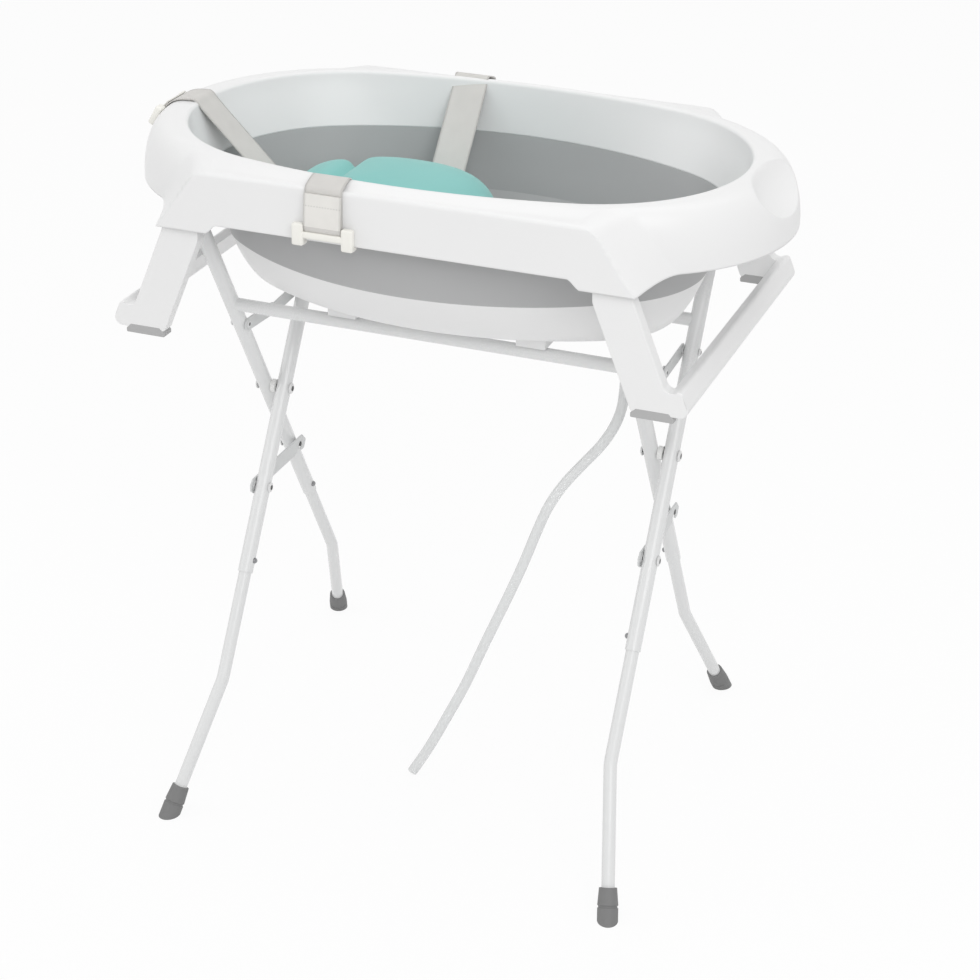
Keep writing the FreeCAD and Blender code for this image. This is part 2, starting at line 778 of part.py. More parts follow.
def frame_rivet(hand, height, sizes, shoulder_end, head_start):
    """Rivet through a front frame tube and the link in the gap beside it.

    Local Z starts on the tube's axis and points into the gap. The shoulder fills the room
    between tube and link, and a flat head holds the link on.
    """
    shank, head, flat = sizes
    tube_face = "(tube_od / 2)"
    corners = rivet_corners(shank, head, "stay_outer_head_h", "-%s - head_play" % tube_face, tube_face)
    if shoulder_end:
        corners += [(head, tube_face), (head, shoulder_end), (shank, shoulder_end)]
    corners += [(shank, head_start), (head, head_start),
                (head, "%s + %s * %g" % (head_start, flat, BEVEL_EDGE_SHARE)),
                ("%s * %g" % (head, BEVEL_CROWN_SHARE), "%s + %s" % (head_start, flat)),
                ("0", "%s + %s" % (head_start, flat))]
    return turned(corners, on_tube(hand, height), AGAINST_X)


def stay_rivets(facing):
    """Pair of rivets that carry the stays of one frame."""
    sizes = ("stay_rivet_d / 2", "stay_head_d / 2", "stay_head_h")
    if facing > 0:
        gap = "side_gap - seat_clearance - 2 * stay_thickness - stay_lap_gap"
        shoulder = "tube_od / 2 + %s - pin_clearance" % gap
    else:
        gap = "seat_clearance"
        shoulder = None
    seat = "tube_od / 2 + %s + stay_thickness + pin_clearance" % gap
    return group(*[frame_rivet(hand, worth("stay_height"), sizes, shoulder, seat) for hand in (-1, 1)])


def latch_rivets():
    sizes = ("latch_rivet_d / 2", "latch_head_d / 2", "stay_head_h")
    shoulder = "tube_od / 2 + latch_face_gap - pin_clearance"
    seat = "tube_od / 2 + latch_face_gap + latch_thickness + pin_clearance"
    return group(*[frame_rivet(hand, worth("latch_level"), sizes, shoulder, seat) for hand in (-1, 1)])


def latch_pins():
    """Headed pins on the rear frame that the latch bars hook over."""
    pins = []
    for hand in (-1, 1):
        end = "tube_od / 2 + side_gap - seat_clearance"
        corners = rivet_corners("latch_pin_d / 2", "latch_head_d / 2", "stay_outer_head_h",
                                "-(tube_od / 2) - head_play", end)
        pins.append(turned(corners + [("0", end)], on_tube(hand, worth("latch_level")), AGAINST_X))
    return group(*pins)


def latch_bar(hand):
    """Bar on the front frame, with a notch that drops over the rear frame's pin.

    The notch's inner flank slopes at 45 degrees, because the pin leaves it down and inwards.
    """
    half = "latch_height / 2"
    room = "(latch_pin_d / 2 + latch_pin_play)"
    slope_foot = "latch_reach - %s * %.6f - %s" % (room, DIAGONAL, half)
    slope_top = "latch_reach - %s * %.6f" % (room, DIAGONAL - 1)
    corners = (
        ("-latch_tail", "-%s * %g" % (half, BEVEL_EDGE_SHARE)),
        ("-latch_tail * %g" % BEVEL_EDGE_SHARE, "-%s" % half),
        (slope_foot, "-%s" % half),
        (slope_top, room),
        ("latch_reach + %s" % room, room),
        ("latch_reach + %s" % room, "-%s" % half),
        ("latch_reach + latch_nose * %g" % BEVEL_CROWN_SHARE, "-%s" % half),
        ("latch_reach + latch_nose", "0"),
        ("latch_reach + latch_nose * %g" % BEVEL_EDGE_SHARE, half),
        ("-latch_tail * %g" % BEVEL_EDGE_SHARE, half),
        ("-latch_tail", "%s * %g" % (half, BEVEL_EDGE_SHARE)),
    )
    offset = worth("side_gap - latch_face_gap - latch_thickness")
    root = gap_point(hand, offset, -worth("latch_reach / 2"), worth("latch_level"))
    bar = plate(corners, "latch_thickness", root, FACING_X)
    hole_start = root - AXIS_X * worth("overrun")
    return cut(bar, cylinder("latch_rivet_d / 2 + pin_clearance", "2 * overrun", hole_start, ALONG_X))


def make_linkage():
    node(group(*[pivot_rivet(hand) for hand in (-1, 1)]), "pivot_rivets")
    node(group(*[pivot_spacer(hand) for hand in (-1, 1)]), "pivot_spacers")
    for hand in (-1, 1):
        side = side_name(hand)
        node(stay(hand, -1, REAR_STAY_OFFSET), "%s_rear_stay" % side)
        node(stay(hand, 1, FRONT_STAY_OFFSET), "%s_front_stay" % side)
        node(mid_rivet(hand), "%s_stay_mid_rivet" % side)
        node(latch_bar(hand), "%s_latch_bar" % side)
    node(stay_rivets(-1), "rear_stay_rivets", REAR_FRAME)
    node(stay_rivets(1), "front_stay_rivets")
    node(latch_rivets(), "latch_rivets")
    node(latch_pins(), "latch_pins", REAR_FRAME)


def snap_button(hand):
    """Domed button on its leaf spring, inside the leg and out through both walls."""
    axis = on_tube(hand, worth("joint_height + button_rise"))
    outward = AGAINST_X if hand > 0 else ALONG_X
    pin = turned((
        ("0", "leaf_offset"),
        ("button_d / 2", "leaf_offset"),
        ("button_d / 2", "tube_od / 2 + button_proud - button_crown"),
        ("button_d / 2 - button_crown", "tube_od / 2 + button_proud"),
        ("0", "tube_od / 2 + button_proud"),
    ), axis, outward)
    leaf_turn = UP_TUBE * outward
    half_leaf = Vector(worth("leaf_length / 2"), worth("leaf_width / 2"), -worth("leaf_offset"))
    corner = axis - leaf_turn.multVec(half_leaf)
    return fuse(pin, box("leaf_length", "leaf_width", "leaf_thickness", corner, leaf_turn))


def make_buttons():
    for name, turn, facing in FRAMES:
        for hand in (-1, 1):
            node(snap_button(hand), "%s_%s_snap_button" % (name, side_name(hand * facing)), turn)


# Bath: base, wall and rim


def drain_cutter(diameter, low, high):
    """Upright cylinder at the drain between two heights."""
    start = Vector(worth("drain_offset"), 0, worth(low))
    return cylinder("(%s) / 2" % diameter, "%s - (%s)" % (high, low), start)


def bath_base():
    outside = base_sections()
    inside = [inset(section, worth("base_wall")) for section in outside]
    inside[0] = inset(outside[0], worth("base_wall"), outside[0][-1] + worth("base_wall"))
    inside.append(inset(outside[-1], worth("base_wall"), outside[-1][-1] + worth("overrun")))
    hole = drain_cutter("drain_bore", "base_bottom_height - overrun", "base_bottom_height + overrun")
    return cut(oval_loft(outside), oval_loft(inside), hole)


def base_saddles():
    """Blocks under the base, from side to side, that rest on both of the stand's crossbars."""
    reach = on_tube(1, worth("crossbar_height")).y + worth("crossbar_od / 2")
    add_sizes({"saddle_reach": reach})
    blocks = []
    for hand in (-1, 1):
        at = Vector(worth("saddle_offset") * hand - worth("saddle_length / 2"), -reach, worth("bath_seat_height"))
        blocks.append(box("saddle_length", "2 * saddle_reach", "base_lift", at))
    return group(*blocks)


def throat_section(amount=0):
    """Oval where the wall meets the rim, drawn in by an amount."""
    outer = (worth("throat_length / 2"), worth("throat_width / 2"), worth("throat_radius"),
             worth("throat_height"))
    return inset(outer, amount)


def collapsible_wall():
    seam = base_sections()[-1]
    thick = worth("wall_thickness")
    low = inset(seam, thick)
    high = throat_section(thick)
    past = worth("overrun")
    inside = oval_loft([inset(low, 0, low[-1] - past), low, high, inset(high, 0, high[-1] + past)])
    return cut(oval_loft([seam, throat_section()]), inside)


def rim_sections(amount=0):
    """Outer ovals of the rim from skirt to crest, drawn in by a wall and lowered under the crest."""
    sections = []
    for rise, share in zip(RIM_HEIGHT_SHARES, RIM_INSET_SHARES):
        half_length = worth("rim_length / 2") - worth("crest_inset") * share - amount
        half_width = worth("rim_width / 2") - worth("crest_side_inset") * share - amount
        radius = worth("rim_radius") - worth("crest_side_inset") * share - amount
        height = worth("skirt_bottom") + worth("rim_depth") * rise - amount * rise
        sections.append((half_length, half_width, radius, height))
    return sections


def mouth_loft(amount, low):
    """Inside of the bath from the wall up through the mouth, grown by an amount."""
    throat = throat_section(worth("wall_thickness") - amount)
    mouth = inset((worth("mouth_length / 2"), worth("mouth_width / 2"), worth("mouth_radius"),
                   worth("crest_height")), -amount)
    above = inset(mouth, 0, mouth[-1] + worth("overrun"))
    below = [inset(throat, 0, low)] if low < throat[-1] else []
    return oval_loft(below + [throat, mouth, above])


def panel_prism(wall, low):
    """Front and back panels as one block right through, drawn in by a wall, down to a level.

    The slanting ends keep the wall's thickness square to themselves.
    """
    slant = worth("panel_bottom_length - panel_top_length") / worth("2 * panel_height")
    square = math.hypot(1, slant)
    notch = "panel_notch_length / 2"
    high = "(panel_height - (%s))" % wall
    edge = "(panel_bottom_length / 2 - (%s) * %.6f - (%s) * %.6f)"
    top = edge % (wall, square, high, slant)
    bottom = edge % (wall, square, low, slant)
    corners = [("-%s" % top, high), ("-%s" % bottom, low), (bottom, low), (top, high)]
    if low == "0":
        corners[2:2] = [
            ("-%s - panel_notch_rise" % notch, "0"),
            ("-%s" % notch, "panel_notch_rise"),
            (notch, "panel_notch_rise"),
            ("%s + panel_notch_rise" % notch, "0"),
        ]
    at = Vector(0, worth("panel_span / 2 - (%s)" % wall), worth("panel_top - panel_height"))
    upper = (0, len(corners) - 1)
    depth = "panel_span - 2 * (%s)" % wall
    return plate(corners, depth, at, FACING_FRONT, "panel_corner - (%s)" % wall, upper)


def scoop(amount):
    """Hand hollow in the right end of the rim, as an ellipsoid grown by a wall."""
    hollow = doc.addObject("Part::Ellipsoid", "scoop")
    halves = {"Radius1": "scoop_half_height", "Radius2": "scoop_reach", "Radius3": "scoop_half_width"}
    for prop, text in halves.items():
        hollow.setExpression(prop, linked("%s + (%s)" % (text, amount)))
    centre = worth("rim_length / 2 - crest_inset / 2 - scoop_depth + scoop_reach")
    hollow.Placement = Placement(Vector(centre, 0, worth("crest_height + scoop_rise")), UPRIGHT)
    return hollow


def hinge_places():
    """Each leg hinge as its hand along X and its facing along Y."""
    return [(hand, facing) for hand in (-1, 1) for facing in (-1, 1)]


def hinge_point(hand, y):
    return Vector(hand * worth("leg_hinge_spacing / 2"), y, worth("hinge_height"))


def across(facing, inner, outer):
    """Lower end of a stretch along Y, from sizes counted out from the middle."""
    return inner if facing > 0 else -outer


def hinge_supports():
    """Cheek inside and boss outside each leg arm, within the panel housing."""
    cheeks = []
    bosses = []
    inner = worth("arm_face - arm_thickness - arm_side_gap - cheek_thickness")
    boss_start = worth("arm_face + arm_side_gap")
    for hand, facing in hinge_places():
        start = across(facing, inner, inner + worth("cheek_thickness"))
        low = Vector(hand * worth("leg_hinge_spacing / 2") - worth("cheek_length / 2"), start,
                     worth("hinge_height - knuckle_d / 2"))
        cheeks.append(box("cheek_length", "cheek_thickness", "panel_height", low))
        boss_low = across(facing, boss_start, boss_start + worth("boss_height + rim_wall / 2"))
        centre = hinge_point(hand, boss_low)
        bosses.append(cylinder("boss_d / 2", "boss_height + rim_wall / 2", centre, ALONG_Y))
    return fuse(*cheeks), bosses


def hinge_pin(hand, facing, play):
    """Pin through cheek, leg arm and boss, or the hole for it."""
    inner = worth("arm_face - arm_thickness - arm_side_gap - cheek_thickness")
    start = across(facing, inner, worth("arm_face + arm_side_gap + leg_pin_grip"))
    length = "arm_thickness + 2 * arm_side_gap + cheek_thickness + leg_pin_grip"
    return cylinder("leg_pin_d / 2 + (%s)" % play, length, hinge_point(hand, start), ALONG_Y)


def bath_rim():
    """One moulding: an upside-down channel round the mouth with flat front and back panels."""
    panel = panel_prism("0", "0")
    outside = fuse(cut(oval_loft(rim_sections()), scoop("0")), panel)
    skirt = rim_sections(worth("rim_wall"))
    skirt.insert(0, inset(skirt[0], 0, skirt[0][-1] - worth("2 * overrun")))
    hollow = fuse(cut(oval_loft(skirt), scoop("rim_wall")), panel_prism("rim_wall", "-overrun"))
    channel = cut(hollow, mouth_loft(worth("rim_wall"), worth("throat_height")))
    mouth = mouth_loft(0, worth("skirt_bottom - 2 * overrun"))
    cheeks, bosses = hinge_supports()
    shell = fuse(cut(outside, mouth, channel), common(cheeks, panel_prism("0", "0")), *bosses)
    return cut(shell, *[hinge_pin(hand, facing, "pin_clearance") for hand, facing in hinge_places()])


def make_bath():
    node(bath_base(), "bath_base")
    node(base_saddles(), "base_saddles")
    node(collapsible_wall(), "collapsible_wall")
    node(bath_rim(), "bath_rim")
    for hand in (-1, 1):
        pins = [hinge_pin(hand, facing, "0") for facing in (-1, 1)]
        node(group(*pins), "%s_leg_hinge_pins" % side_name(hand))


# Folding legs under the bath's ends

SPLAYED = Rotation(AXIS_Y, -math.degrees(SPLAY))


def in_leg(x, y, z):
    """Point of the right leg, from its own place about the hinge."""
    return hinge_point(1, 0) + SPLAYED.multVec(Vector(x, y, z))


def level_end(x):
    """Height in the leg's own frame where its level foot is, at a place across the arm."""
    drop = worth("leg_end_height - hinge_height")
    return (drop - x * math.sin(SPLAY)) / math.cos(SPLAY)


def leg_arm(facing):
    """Flat arm with a round knuckle, long enough to be cut off level."""
    low = across(facing, worth("arm_face - arm_thickness"), worth("arm_face"))
    corners = (
        ("-knuckle_d / 2", "0"),
        ("-arm_width / 2", "-arm_neck"),
        ("-arm_width / 2", "-arm_length"),
        ("arm_width / 2", "-arm_length"),
        ("arm_width / 2", "-arm_neck"),
        ("knuckle_d / 2", "0"),
    )
    face = in_leg(0, low + worth("arm_thickness"), 0)
    arm = plate(corners, "arm_thickness", face, SPLAYED * FACING_FRONT)
    knuckle = cylinder("knuckle_d / 2", "arm_thickness", in_leg(0, low, 0), SPLAYED * ALONG_Y)
    return arm, knuckle


def leg_rail():
    """Bar that joins the arms and stands out from their edges, on a toe with a hollow corner at each arm."""
    outer = worth("arm_width / 2 + leg_toe")
    low = -worth("arm_length")
    pieces = [box("rail_thickness", "2 * arm_face", "rail_height + overrun",
                  in_leg(outer - worth("rail_thickness"), -worth("arm_face"), low), SPLAYED)]
    hollow_x = worth("arm_width / 2 + toe_corner")
    hollow_z = level_end(outer) + worth("rail_height + toe_corner")
    for facing in (-1, 1):
        near = across(facing, worth("arm_face - arm_thickness"), worth("arm_face"))
        toe = box("arm_width / 2 + leg_toe", "arm_thickness", "rail_height + overrun",
                  in_leg(0, near, low), SPLAYED)
        web = box("arm_width / 2 + toe_corner", "arm_thickness", "rail_height + overrun + toe_corner",
                  in_leg(0, near, low), SPLAYED)
        hollow = cylinder("toe_corner", "arm_thickness", in_leg(hollow_x, near, hollow_z), SPLAYED * ALONG_Y)
        pieces += [toe, cut(web, hollow)]
    return pieces


def bath_leg():
    pieces = []
    for facing in (-1, 1):
        pieces += leg_arm(facing)
    pieces += leg_rail()
    start = hinge_point(1, -worth("panel_span / 2"))
    hole = cylinder("leg_pin_d / 2 + pin_clearance", "panel_span", start, ALONG_Y)
    far = worth("panel_span")
    under = box("2 * panel_span", "2 * panel_span", "arm_length",
                hinge_point(1, 0) + Vector(-far, -far, worth("leg_end_height - hinge_height - arm_length")))
    return cut(fuse(*pieces), hole, under)


def leg_pads():
    """Soft pad under each arm's level end."""
    middle = worth("leg_hinge_spacing / 2 + leg_spread")
    start = middle - worth("pad_length / 2")
    pads = []
    for facing in (-1, 1):
        low = across(facing, worth("arm_face - arm_thickness"), worth("arm_face"))
        at = Vector(start, low + worth("pad_inset"), worth("leg_end_height - pad_thickness"))
        pads.append(box("pad_length", "arm_thickness - 2 * pad_inset", "pad_thickness", at))
    return group(*pads)


def make_legs():
    for name, turn in (("right", FRONT_FRAME), ("left", REAR_FRAME)):
        node(bath_leg(), "%s_bath_leg" % name, turn)
        node(leg_pads(), "%s_leg_pads" % name, turn)


# Drain with its stopper and hose


def drain_outlet():
    """Flanged cup under the base that narrows to the spout."""
    x = worth("drain_offset")
    under = worth("base_bottom_height")
    bore = "(drain_bore / 2)"
    wall = "drain_wall"
    spout = "drain_spout_d / 2"
    return turned((
        (bore, "0"),
        ("drain_flange_d / 2", "0"),
        ("drain_flange_d / 2", "-drain_flange_h"),
        ("%s + %s" % (bore, wall), "-drain_flange_h"),
        ("%s + %s" % (bore, wall), "-drain_cup_depth / 2"),
        (spout, "-drain_cup_depth - drain_flange_h"),
        (spout, "-drain_cup_depth - drain_flange_h - drain_spout_h"),
        ("%s - %s" % (spout, wall), "-drain_cup_depth - drain_flange_h - drain_spout_h"),
        ("%s - %s" % (spout, wall), "-drain_cup_depth - drain_flange_h"),
        (bore, "-drain_cup_depth / 2"),
    ), Vector(x, 0, under))


def drain_stopper():
    """Stopper in the base's hole, with a rim that rests on the floor of the bath and a knob."""
    seat = "base_wall + seat_clearance"
    plug = "drain_bore / 2 - stopper_play"
    return turned((
        ("0", "seat_clearance"),
        (plug, "seat_clearance"),
        (plug, seat),
        ("stopper_flange_d / 2", seat),
        ("stopper_flange_d / 2", "%s + stopper_flange_h / 2" % seat),
        ("stopper_knob_d / 2", "%s + stopper_flange_h" % seat),
        ("stopper_knob_d / 2", "%s + stopper_knob_h" % seat),
        ("0", "%s + stopper_knob_h" % seat),
    ), Vector(worth("drain_offset"), 0, worth("base_bottom_height")))


def drain_hose():
    """Round hose on straight runs joined by tangent arcs, each as large as its runs allow."""
    points = [Vector(*point) for point in HOSE_ROUTE]
    edges = []
    start = points[0]
    radii = []
    for before, point, after in zip(points, points[1:], points[2:]):
        back = (before - point).normalize()
        ahead = (after - point).normalize()
        shorter = min(before.distanceToPoint(point), after.distanceToPoint(point))
        half_turn = (math.pi - back.getAngle(ahead)) / 2
        radius = shorter * ARC_REACH_SHARE / math.tan(half_turn)
        reach = shorter * ARC_REACH_SHARE
        bisector = (back + ahead).normalize()
        middle = point + bisector * (radius / math.cos(half_turn) - radius)
        edges.append(Part.LineSegment(start, point + back * reach).toShape())
        edges.append(Part.Arc(point + back * reach, middle, point + ahead * reach).toShape())
        start = point + ahead * reach
        radii.append(radius)
    edges.append(Part.LineSegment(start, points[-1]).toShape())
    path = Part.Wire(edges)
    first = (points[1] - points[0]).normalize()
    ring = Part.Wire([Part.Circle(points[0], first, worth("hose_d / 2")).toShape()])
    hose = doc.addObject("Part::Feature", "hose")
    hose.Shape = path.makePipeShell([ring], True, False)
    expected = math.pi * worth("hose_d / 2") ** 2 * path.Length
    print("hose length %.1f, least radius %.1f, volume over section times length %.5f"
          % (path.Length, min(radii), hose.Shape.Volume / expected))
    return hose


def make_drain():
    node(drain_outlet(), "drain_outlet")
    node(drain_stopper(), "drain_plug")
    node(drain_hose(), "drain_hose")


# Cushion with its straps and clips


def lobe(name):
    """Crowned pad whose side draws in above its seam, as a stack of ovals."""
    length = worth("%s_length / 2" % name)
    width = worth("%s_width / 2" % name)
    longer, shorter = max(length, width), min(length, width)
    sections = []
    for rise, share in zip(CUSHION_HEIGHT_SHARES, CUSHION_SIZE_SHARES):
        height = worth("%s_height" % name) * rise
        sections.append((longer * share, shorter * share, shorter * LOBE_ROUND_SHARE * share, height))
    centre = Vector(-worth("%s_offset" % name), 0, worth("base_bottom_height + base_wall"))
    return oval_loft(sections, centre, Rotation(AXIS_Z, QUARTER_TURN) if width > length else UPRIGHT)


def bath_cushion():
    return fuse(lobe("cushion"), lobe("head"))


def band(points, at, turn):
    """Flat strap of one thickness on a line of points, padded to its width."""
    line = [Vector(along, up, 0) for along, up in points]
    thick = worth("strap_thickness")
    sides = []
    for before, after in zip(line, line[1:]):
        direction = (after - before).normalize()
        sides.append(Vector(-direction.y, direction.x, 0))
    outer = []
    for index, point in enumerate(line):
        first = sides[max(index - 1, 0)]
        second = sides[min(index, len(sides) - 1)]
        outer.append(point + (first + second) * (thick / (1 + first.dot(second))))
    strap = doc.addObject("Part::Feature", "strap")
    face = Part.Face(Part.makePolygon(line + outer[::-1] + [line[0]]))
    strap.Shape = face.extrude(AXIS_Z * worth("strap_width"))
    strap.Placement = Placement(at, turn)
    return strap


def strap_end_height():
    return worth("base_bottom_height + base_wall + strap_end_rise")


def side_strap(facing):
    """Strap from the clip on the panel, over the lip and down to the cushion's side."""
    lift = worth("strap_lift")
    face = worth("panel_span / 2") + lift
    ledge = worth("rim_width / 2 - crest_side_inset") + lift
    lip = oval_half_width(worth("mouth_length / 2"), worth("mouth_width / 2"), worth("mouth_radius"),
                          worth("strap_offset + strap_width / 2"))
    clip_top = worth("notch_height + clip_block_height / 2 + clip_bar_height / 2 - clip_hook_height")
    points = (
        (-face, clip_top + lift),
        (-face, worth("panel_top") + lift),
        (-ledge, worth("crest_height") + lift),
        (-lip + lift, worth("crest_height") + lift),
        (-worth("cushion_width / 2") - worth("strap_end_gap"), strap_end_height()),
    )
    half = worth("strap_width / 2")
    if facing < 0:
        return band(points, Vector(-worth("strap_offset") - half, 0, 0), FACING_X)
    return band(points, Vector(-worth("strap_offset") + half, 0, 0), REAR_FRAME * FACING_X)


def rim_outer_x(height):
    """Half length of the rim's outside at a height."""
    sections = rim_sections()
    for low, high in zip(sections, sections[1:]):
        if height <= high[-1]:
            share = (height - low[-1]) / (high[-1] - low[-1])
            return low[0] + (high[0] - low[0]) * share
    return sections[-1][0]


def head_strap():
    """Strap from the clip on the left end, over the crest and down to the head of the cushion."""
    lift = worth("strap_lift")
    sections = rim_sections()
    curve = worth("mouth_radius")
    lip = worth("mouth_length / 2") - curve + math.sqrt(curve ** 2 - worth("strap_width / 2") ** 2)
    clip_top = worth("crest_height - head_clip_drop + clip_block_height / 2 + clip_bar_height / 2")
    points = [(-rim_outer_x(clip_top) - lift, clip_top + lift)]
    for half_length, _, _, height in sections:
        if height > clip_top + lift:
            points.append((-half_length - lift, height + lift))
    points += [
        (-lip + lift, worth("crest_height") + lift),
        (-worth("head_offset + head_length / 2") - worth("strap_end_gap"), strap_end_height()),
    ]
    return band(points, Vector(0, worth("strap_width / 2"), 0), FACING_FRONT)


def clip_blocks(hook):
    """H-shaped clip in its own frame: X across the strap, Y out from the face, Z up."""
    half = worth("strap_width / 2 + clip_side_gap")
    middle = worth("clip_block_height / 2 - clip_bar_height / 2")
    over = worth("strap_thickness + 2 * strap_lift")
    bar = box("strap_width + 2 * clip_side_gap + clip_block_length", "clip_bar_depth", "clip_bar_height",
              Vector(-half - worth("clip_block_length / 2"), over, middle))
    pieces = [bar]
    for start in (-half - worth("clip_block_length"), half):
        pieces.append(box("clip_block_length", "clip_block_depth", "clip_block_height",
                          Vector(start, worth("seat_clearance"), 0)))
        if hook:
            pieces.append(box("clip_block_length", "clip_hook_depth", "clip_hook_height",
                              Vector(start, worth("clip_block_depth / 2 - clip_hook_depth"), 0)))
    return fuse(*pieces)


def panel_clip(facing):
    clip = clip_blocks(hook=True)
    low = worth("notch_height - clip_hook_height - seat_clearance")
    turn = UPRIGHT if facing > 0 else REAR_FRAME
    clip.Placement = Placement(Vector(-worth("strap_offset"), facing * worth("panel_span / 2"), low), turn)
    return clip


def head_clip():
    """Clip on the left end, leaning with the rim's side."""
    low = worth("crest_height - head_clip_drop")
    high = low + worth("clip_block_height")
    near = rim_outer_x(low)
    lean = math.degrees(math.atan2(near - rim_outer_x(high), high - low))
    clip = clip_blocks(hook=False)
    clip.Placement = Placement(Vector(-near, 0, low), Rotation(AXIS_Y, lean) * Rotation(AXIS_Z, QUARTER_TURN))
    return clip


def make_cushion():
    node(bath_cushion(), "bath_cushion")
    node(side_strap(-1), "front_strap")
    node(side_strap(1), "back_strap")
    node(head_strap(), "head_strap")
    node(panel_clip(-1), "front_clip")
    node(panel_clip(1), "back_clip")
    node(head_clip(), "head_clip")


def write_parts():
    """Check every object and sub-part, then write one file for each."""
    doc.recompute()
    faults = [item.Label for item in doc.Objects if "Invalid" in item.State or "Error" in item.State]
    for item in nodes:
        if item.Shape.isNull() or not item.Shape.isValid() or not item.Shape.Solids:
            faults.append(item.Label)
    if faults:
        raise RuntimeError("failed objects: %s" % ", ".join(faults))
    os.makedirs("parts", exist_ok=True)
    for item in nodes:
        item.Shape.exportStep("parts/%s.step" % item.Label)
    print("%d sub-parts written, stand leans %.3f degrees" % (len(nodes), math.degrees(LEAN)))


add_sizes({
    "arm_length": -level_end(worth("arm_width / 2 + leg_toe")) + worth("overrun"),
    "pad_length": worth("arm_width") / math.cos(SPLAY) - worth("2 * pad_inset"),
})
make_frames()
make_linkage()
make_buttons()
make_bath()
make_legs()
make_drain()
make_cushion()
write_parts()
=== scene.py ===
# %% [markdown]
# A folding baby bath on its stand, dressed in Blender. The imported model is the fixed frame: every body and
# joint comes from it, and the sizes written here repeat its own. This lesson adds what a solid model
# leaves out: soft domes, cloth, a padded cushion, a hose and the finishes. All lengths are metres.

import bpy
import numpy as np
from mathutils import Matrix, Vector


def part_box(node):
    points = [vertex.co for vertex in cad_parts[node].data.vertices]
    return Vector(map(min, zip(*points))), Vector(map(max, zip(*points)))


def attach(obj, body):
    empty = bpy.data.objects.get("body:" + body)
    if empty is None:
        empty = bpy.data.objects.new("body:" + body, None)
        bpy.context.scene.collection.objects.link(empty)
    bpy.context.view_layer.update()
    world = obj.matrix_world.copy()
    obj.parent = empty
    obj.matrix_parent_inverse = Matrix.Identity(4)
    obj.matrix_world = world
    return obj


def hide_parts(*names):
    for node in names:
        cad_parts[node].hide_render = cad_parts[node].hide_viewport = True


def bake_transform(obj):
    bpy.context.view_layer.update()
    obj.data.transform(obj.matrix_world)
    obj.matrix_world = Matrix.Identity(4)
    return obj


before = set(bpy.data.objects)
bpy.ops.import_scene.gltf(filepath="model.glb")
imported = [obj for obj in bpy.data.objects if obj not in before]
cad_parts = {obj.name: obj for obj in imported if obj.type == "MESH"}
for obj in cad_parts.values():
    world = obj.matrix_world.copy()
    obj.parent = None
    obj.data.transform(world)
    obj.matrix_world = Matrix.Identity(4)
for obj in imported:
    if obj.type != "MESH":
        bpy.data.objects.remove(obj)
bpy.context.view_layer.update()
MM = 0.001
scene = bpy.context.scene
scene.view_settings.view_transform = "Standard"

# %% [markdown]
# The camera stands in front, a little to the right and above the rim, as it does in the photograph. It
# could be dragged into place by eye. Here three angles, a distance and a focal length say the same
# thing, so the view can be checked: the back axis points from the target to the camera, and right and
# up follow from it.

# %% Camera
PICTURE = 980
AZIMUTH, ELEVATION, ROLL = np.radians((21.4, 25.0, 0.65))
CAMERA_DISTANCE = 3.0
CAMERA_TARGET = np.array((0.0, 0.0, 0.45))
FOCAL_PIXELS = 2417.85
AXIS_PIXEL = (462.3, 437.3)
SENSOR = 36.0


def camera_axes(azimuth, elevation, roll):
    """Right, up and back: back = (sin az cos el, -cos az cos el, sin el), the rest turned by roll."""
    flat = np.cos(elevation)
    back = np.array((np.sin(azimuth) * flat, -np.cos(azimuth) * flat, np.sin(elevation)))
    level = np.array((np.cos(azimuth), np.sin(azimuth), 0.0))
    right = np.cos(roll) * level + np.sin(roll) * np.cross(back, level)
    return right, np.cross(back, right), back


right, up, back = camera_axes(AZIMUTH, ELEVATION, ROLL)
lens = bpy.data.cameras.new("view")
lens.sensor_width = SENSOR
lens.lens = FOCAL_PIXELS / PICTURE * SENSOR
lens.shift_x = (PICTURE / 2 - AXIS_PIXEL[0]) / PICTURE
lens.shift_y = (AXIS_PIXEL[1] - PICTURE / 2) / PICTURE
camera = bpy.data.objects.new("view", lens)
scene.collection.objects.link(camera)
turned = Matrix(np.stack((right, up, back), axis=1).tolist()).to_4x4()
camera.matrix_world = Matrix.Translation(Vector(CAMERA_TARGET + CAMERA_DISTANCE * back)) @ turned
scene.camera = camera
print("camera lens", round(lens.lens, 2), "mm, shift", round(lens.shift_x, 4), round(lens.shift_y, 4))

# %% [markdown]
# The drain hose leaves the underside of the bath and hangs down to the floor in one lazy curve. A NURBS
# curve is the natural tool: few control points, and the line between them is smooth. The points are the
# hose's own route, and a round bevel gives the curve its thickness.

# %% Drain hose
HOSE_ROUTE = (
    (208, 0, 584), (208, 2, 549), (202, 4, 512), (186, 0, 478), (163, -8, 449), (141, -17, 421),
    (123, -24, 389), (110, -29, 351), (98, -33, 313), (83, -39, 271), (66, -46, 227), (48, -53, 180),
    (31, -59, 133), (12, -67, 91), (-4, -73, 55), (-19, -79, 25), (-31, -84, 4.2),
)
HOSE_DIAMETER = 13 * MM
HOSE_ROUND_STEPS, HOSE_SPAN_STEPS = 6, 12


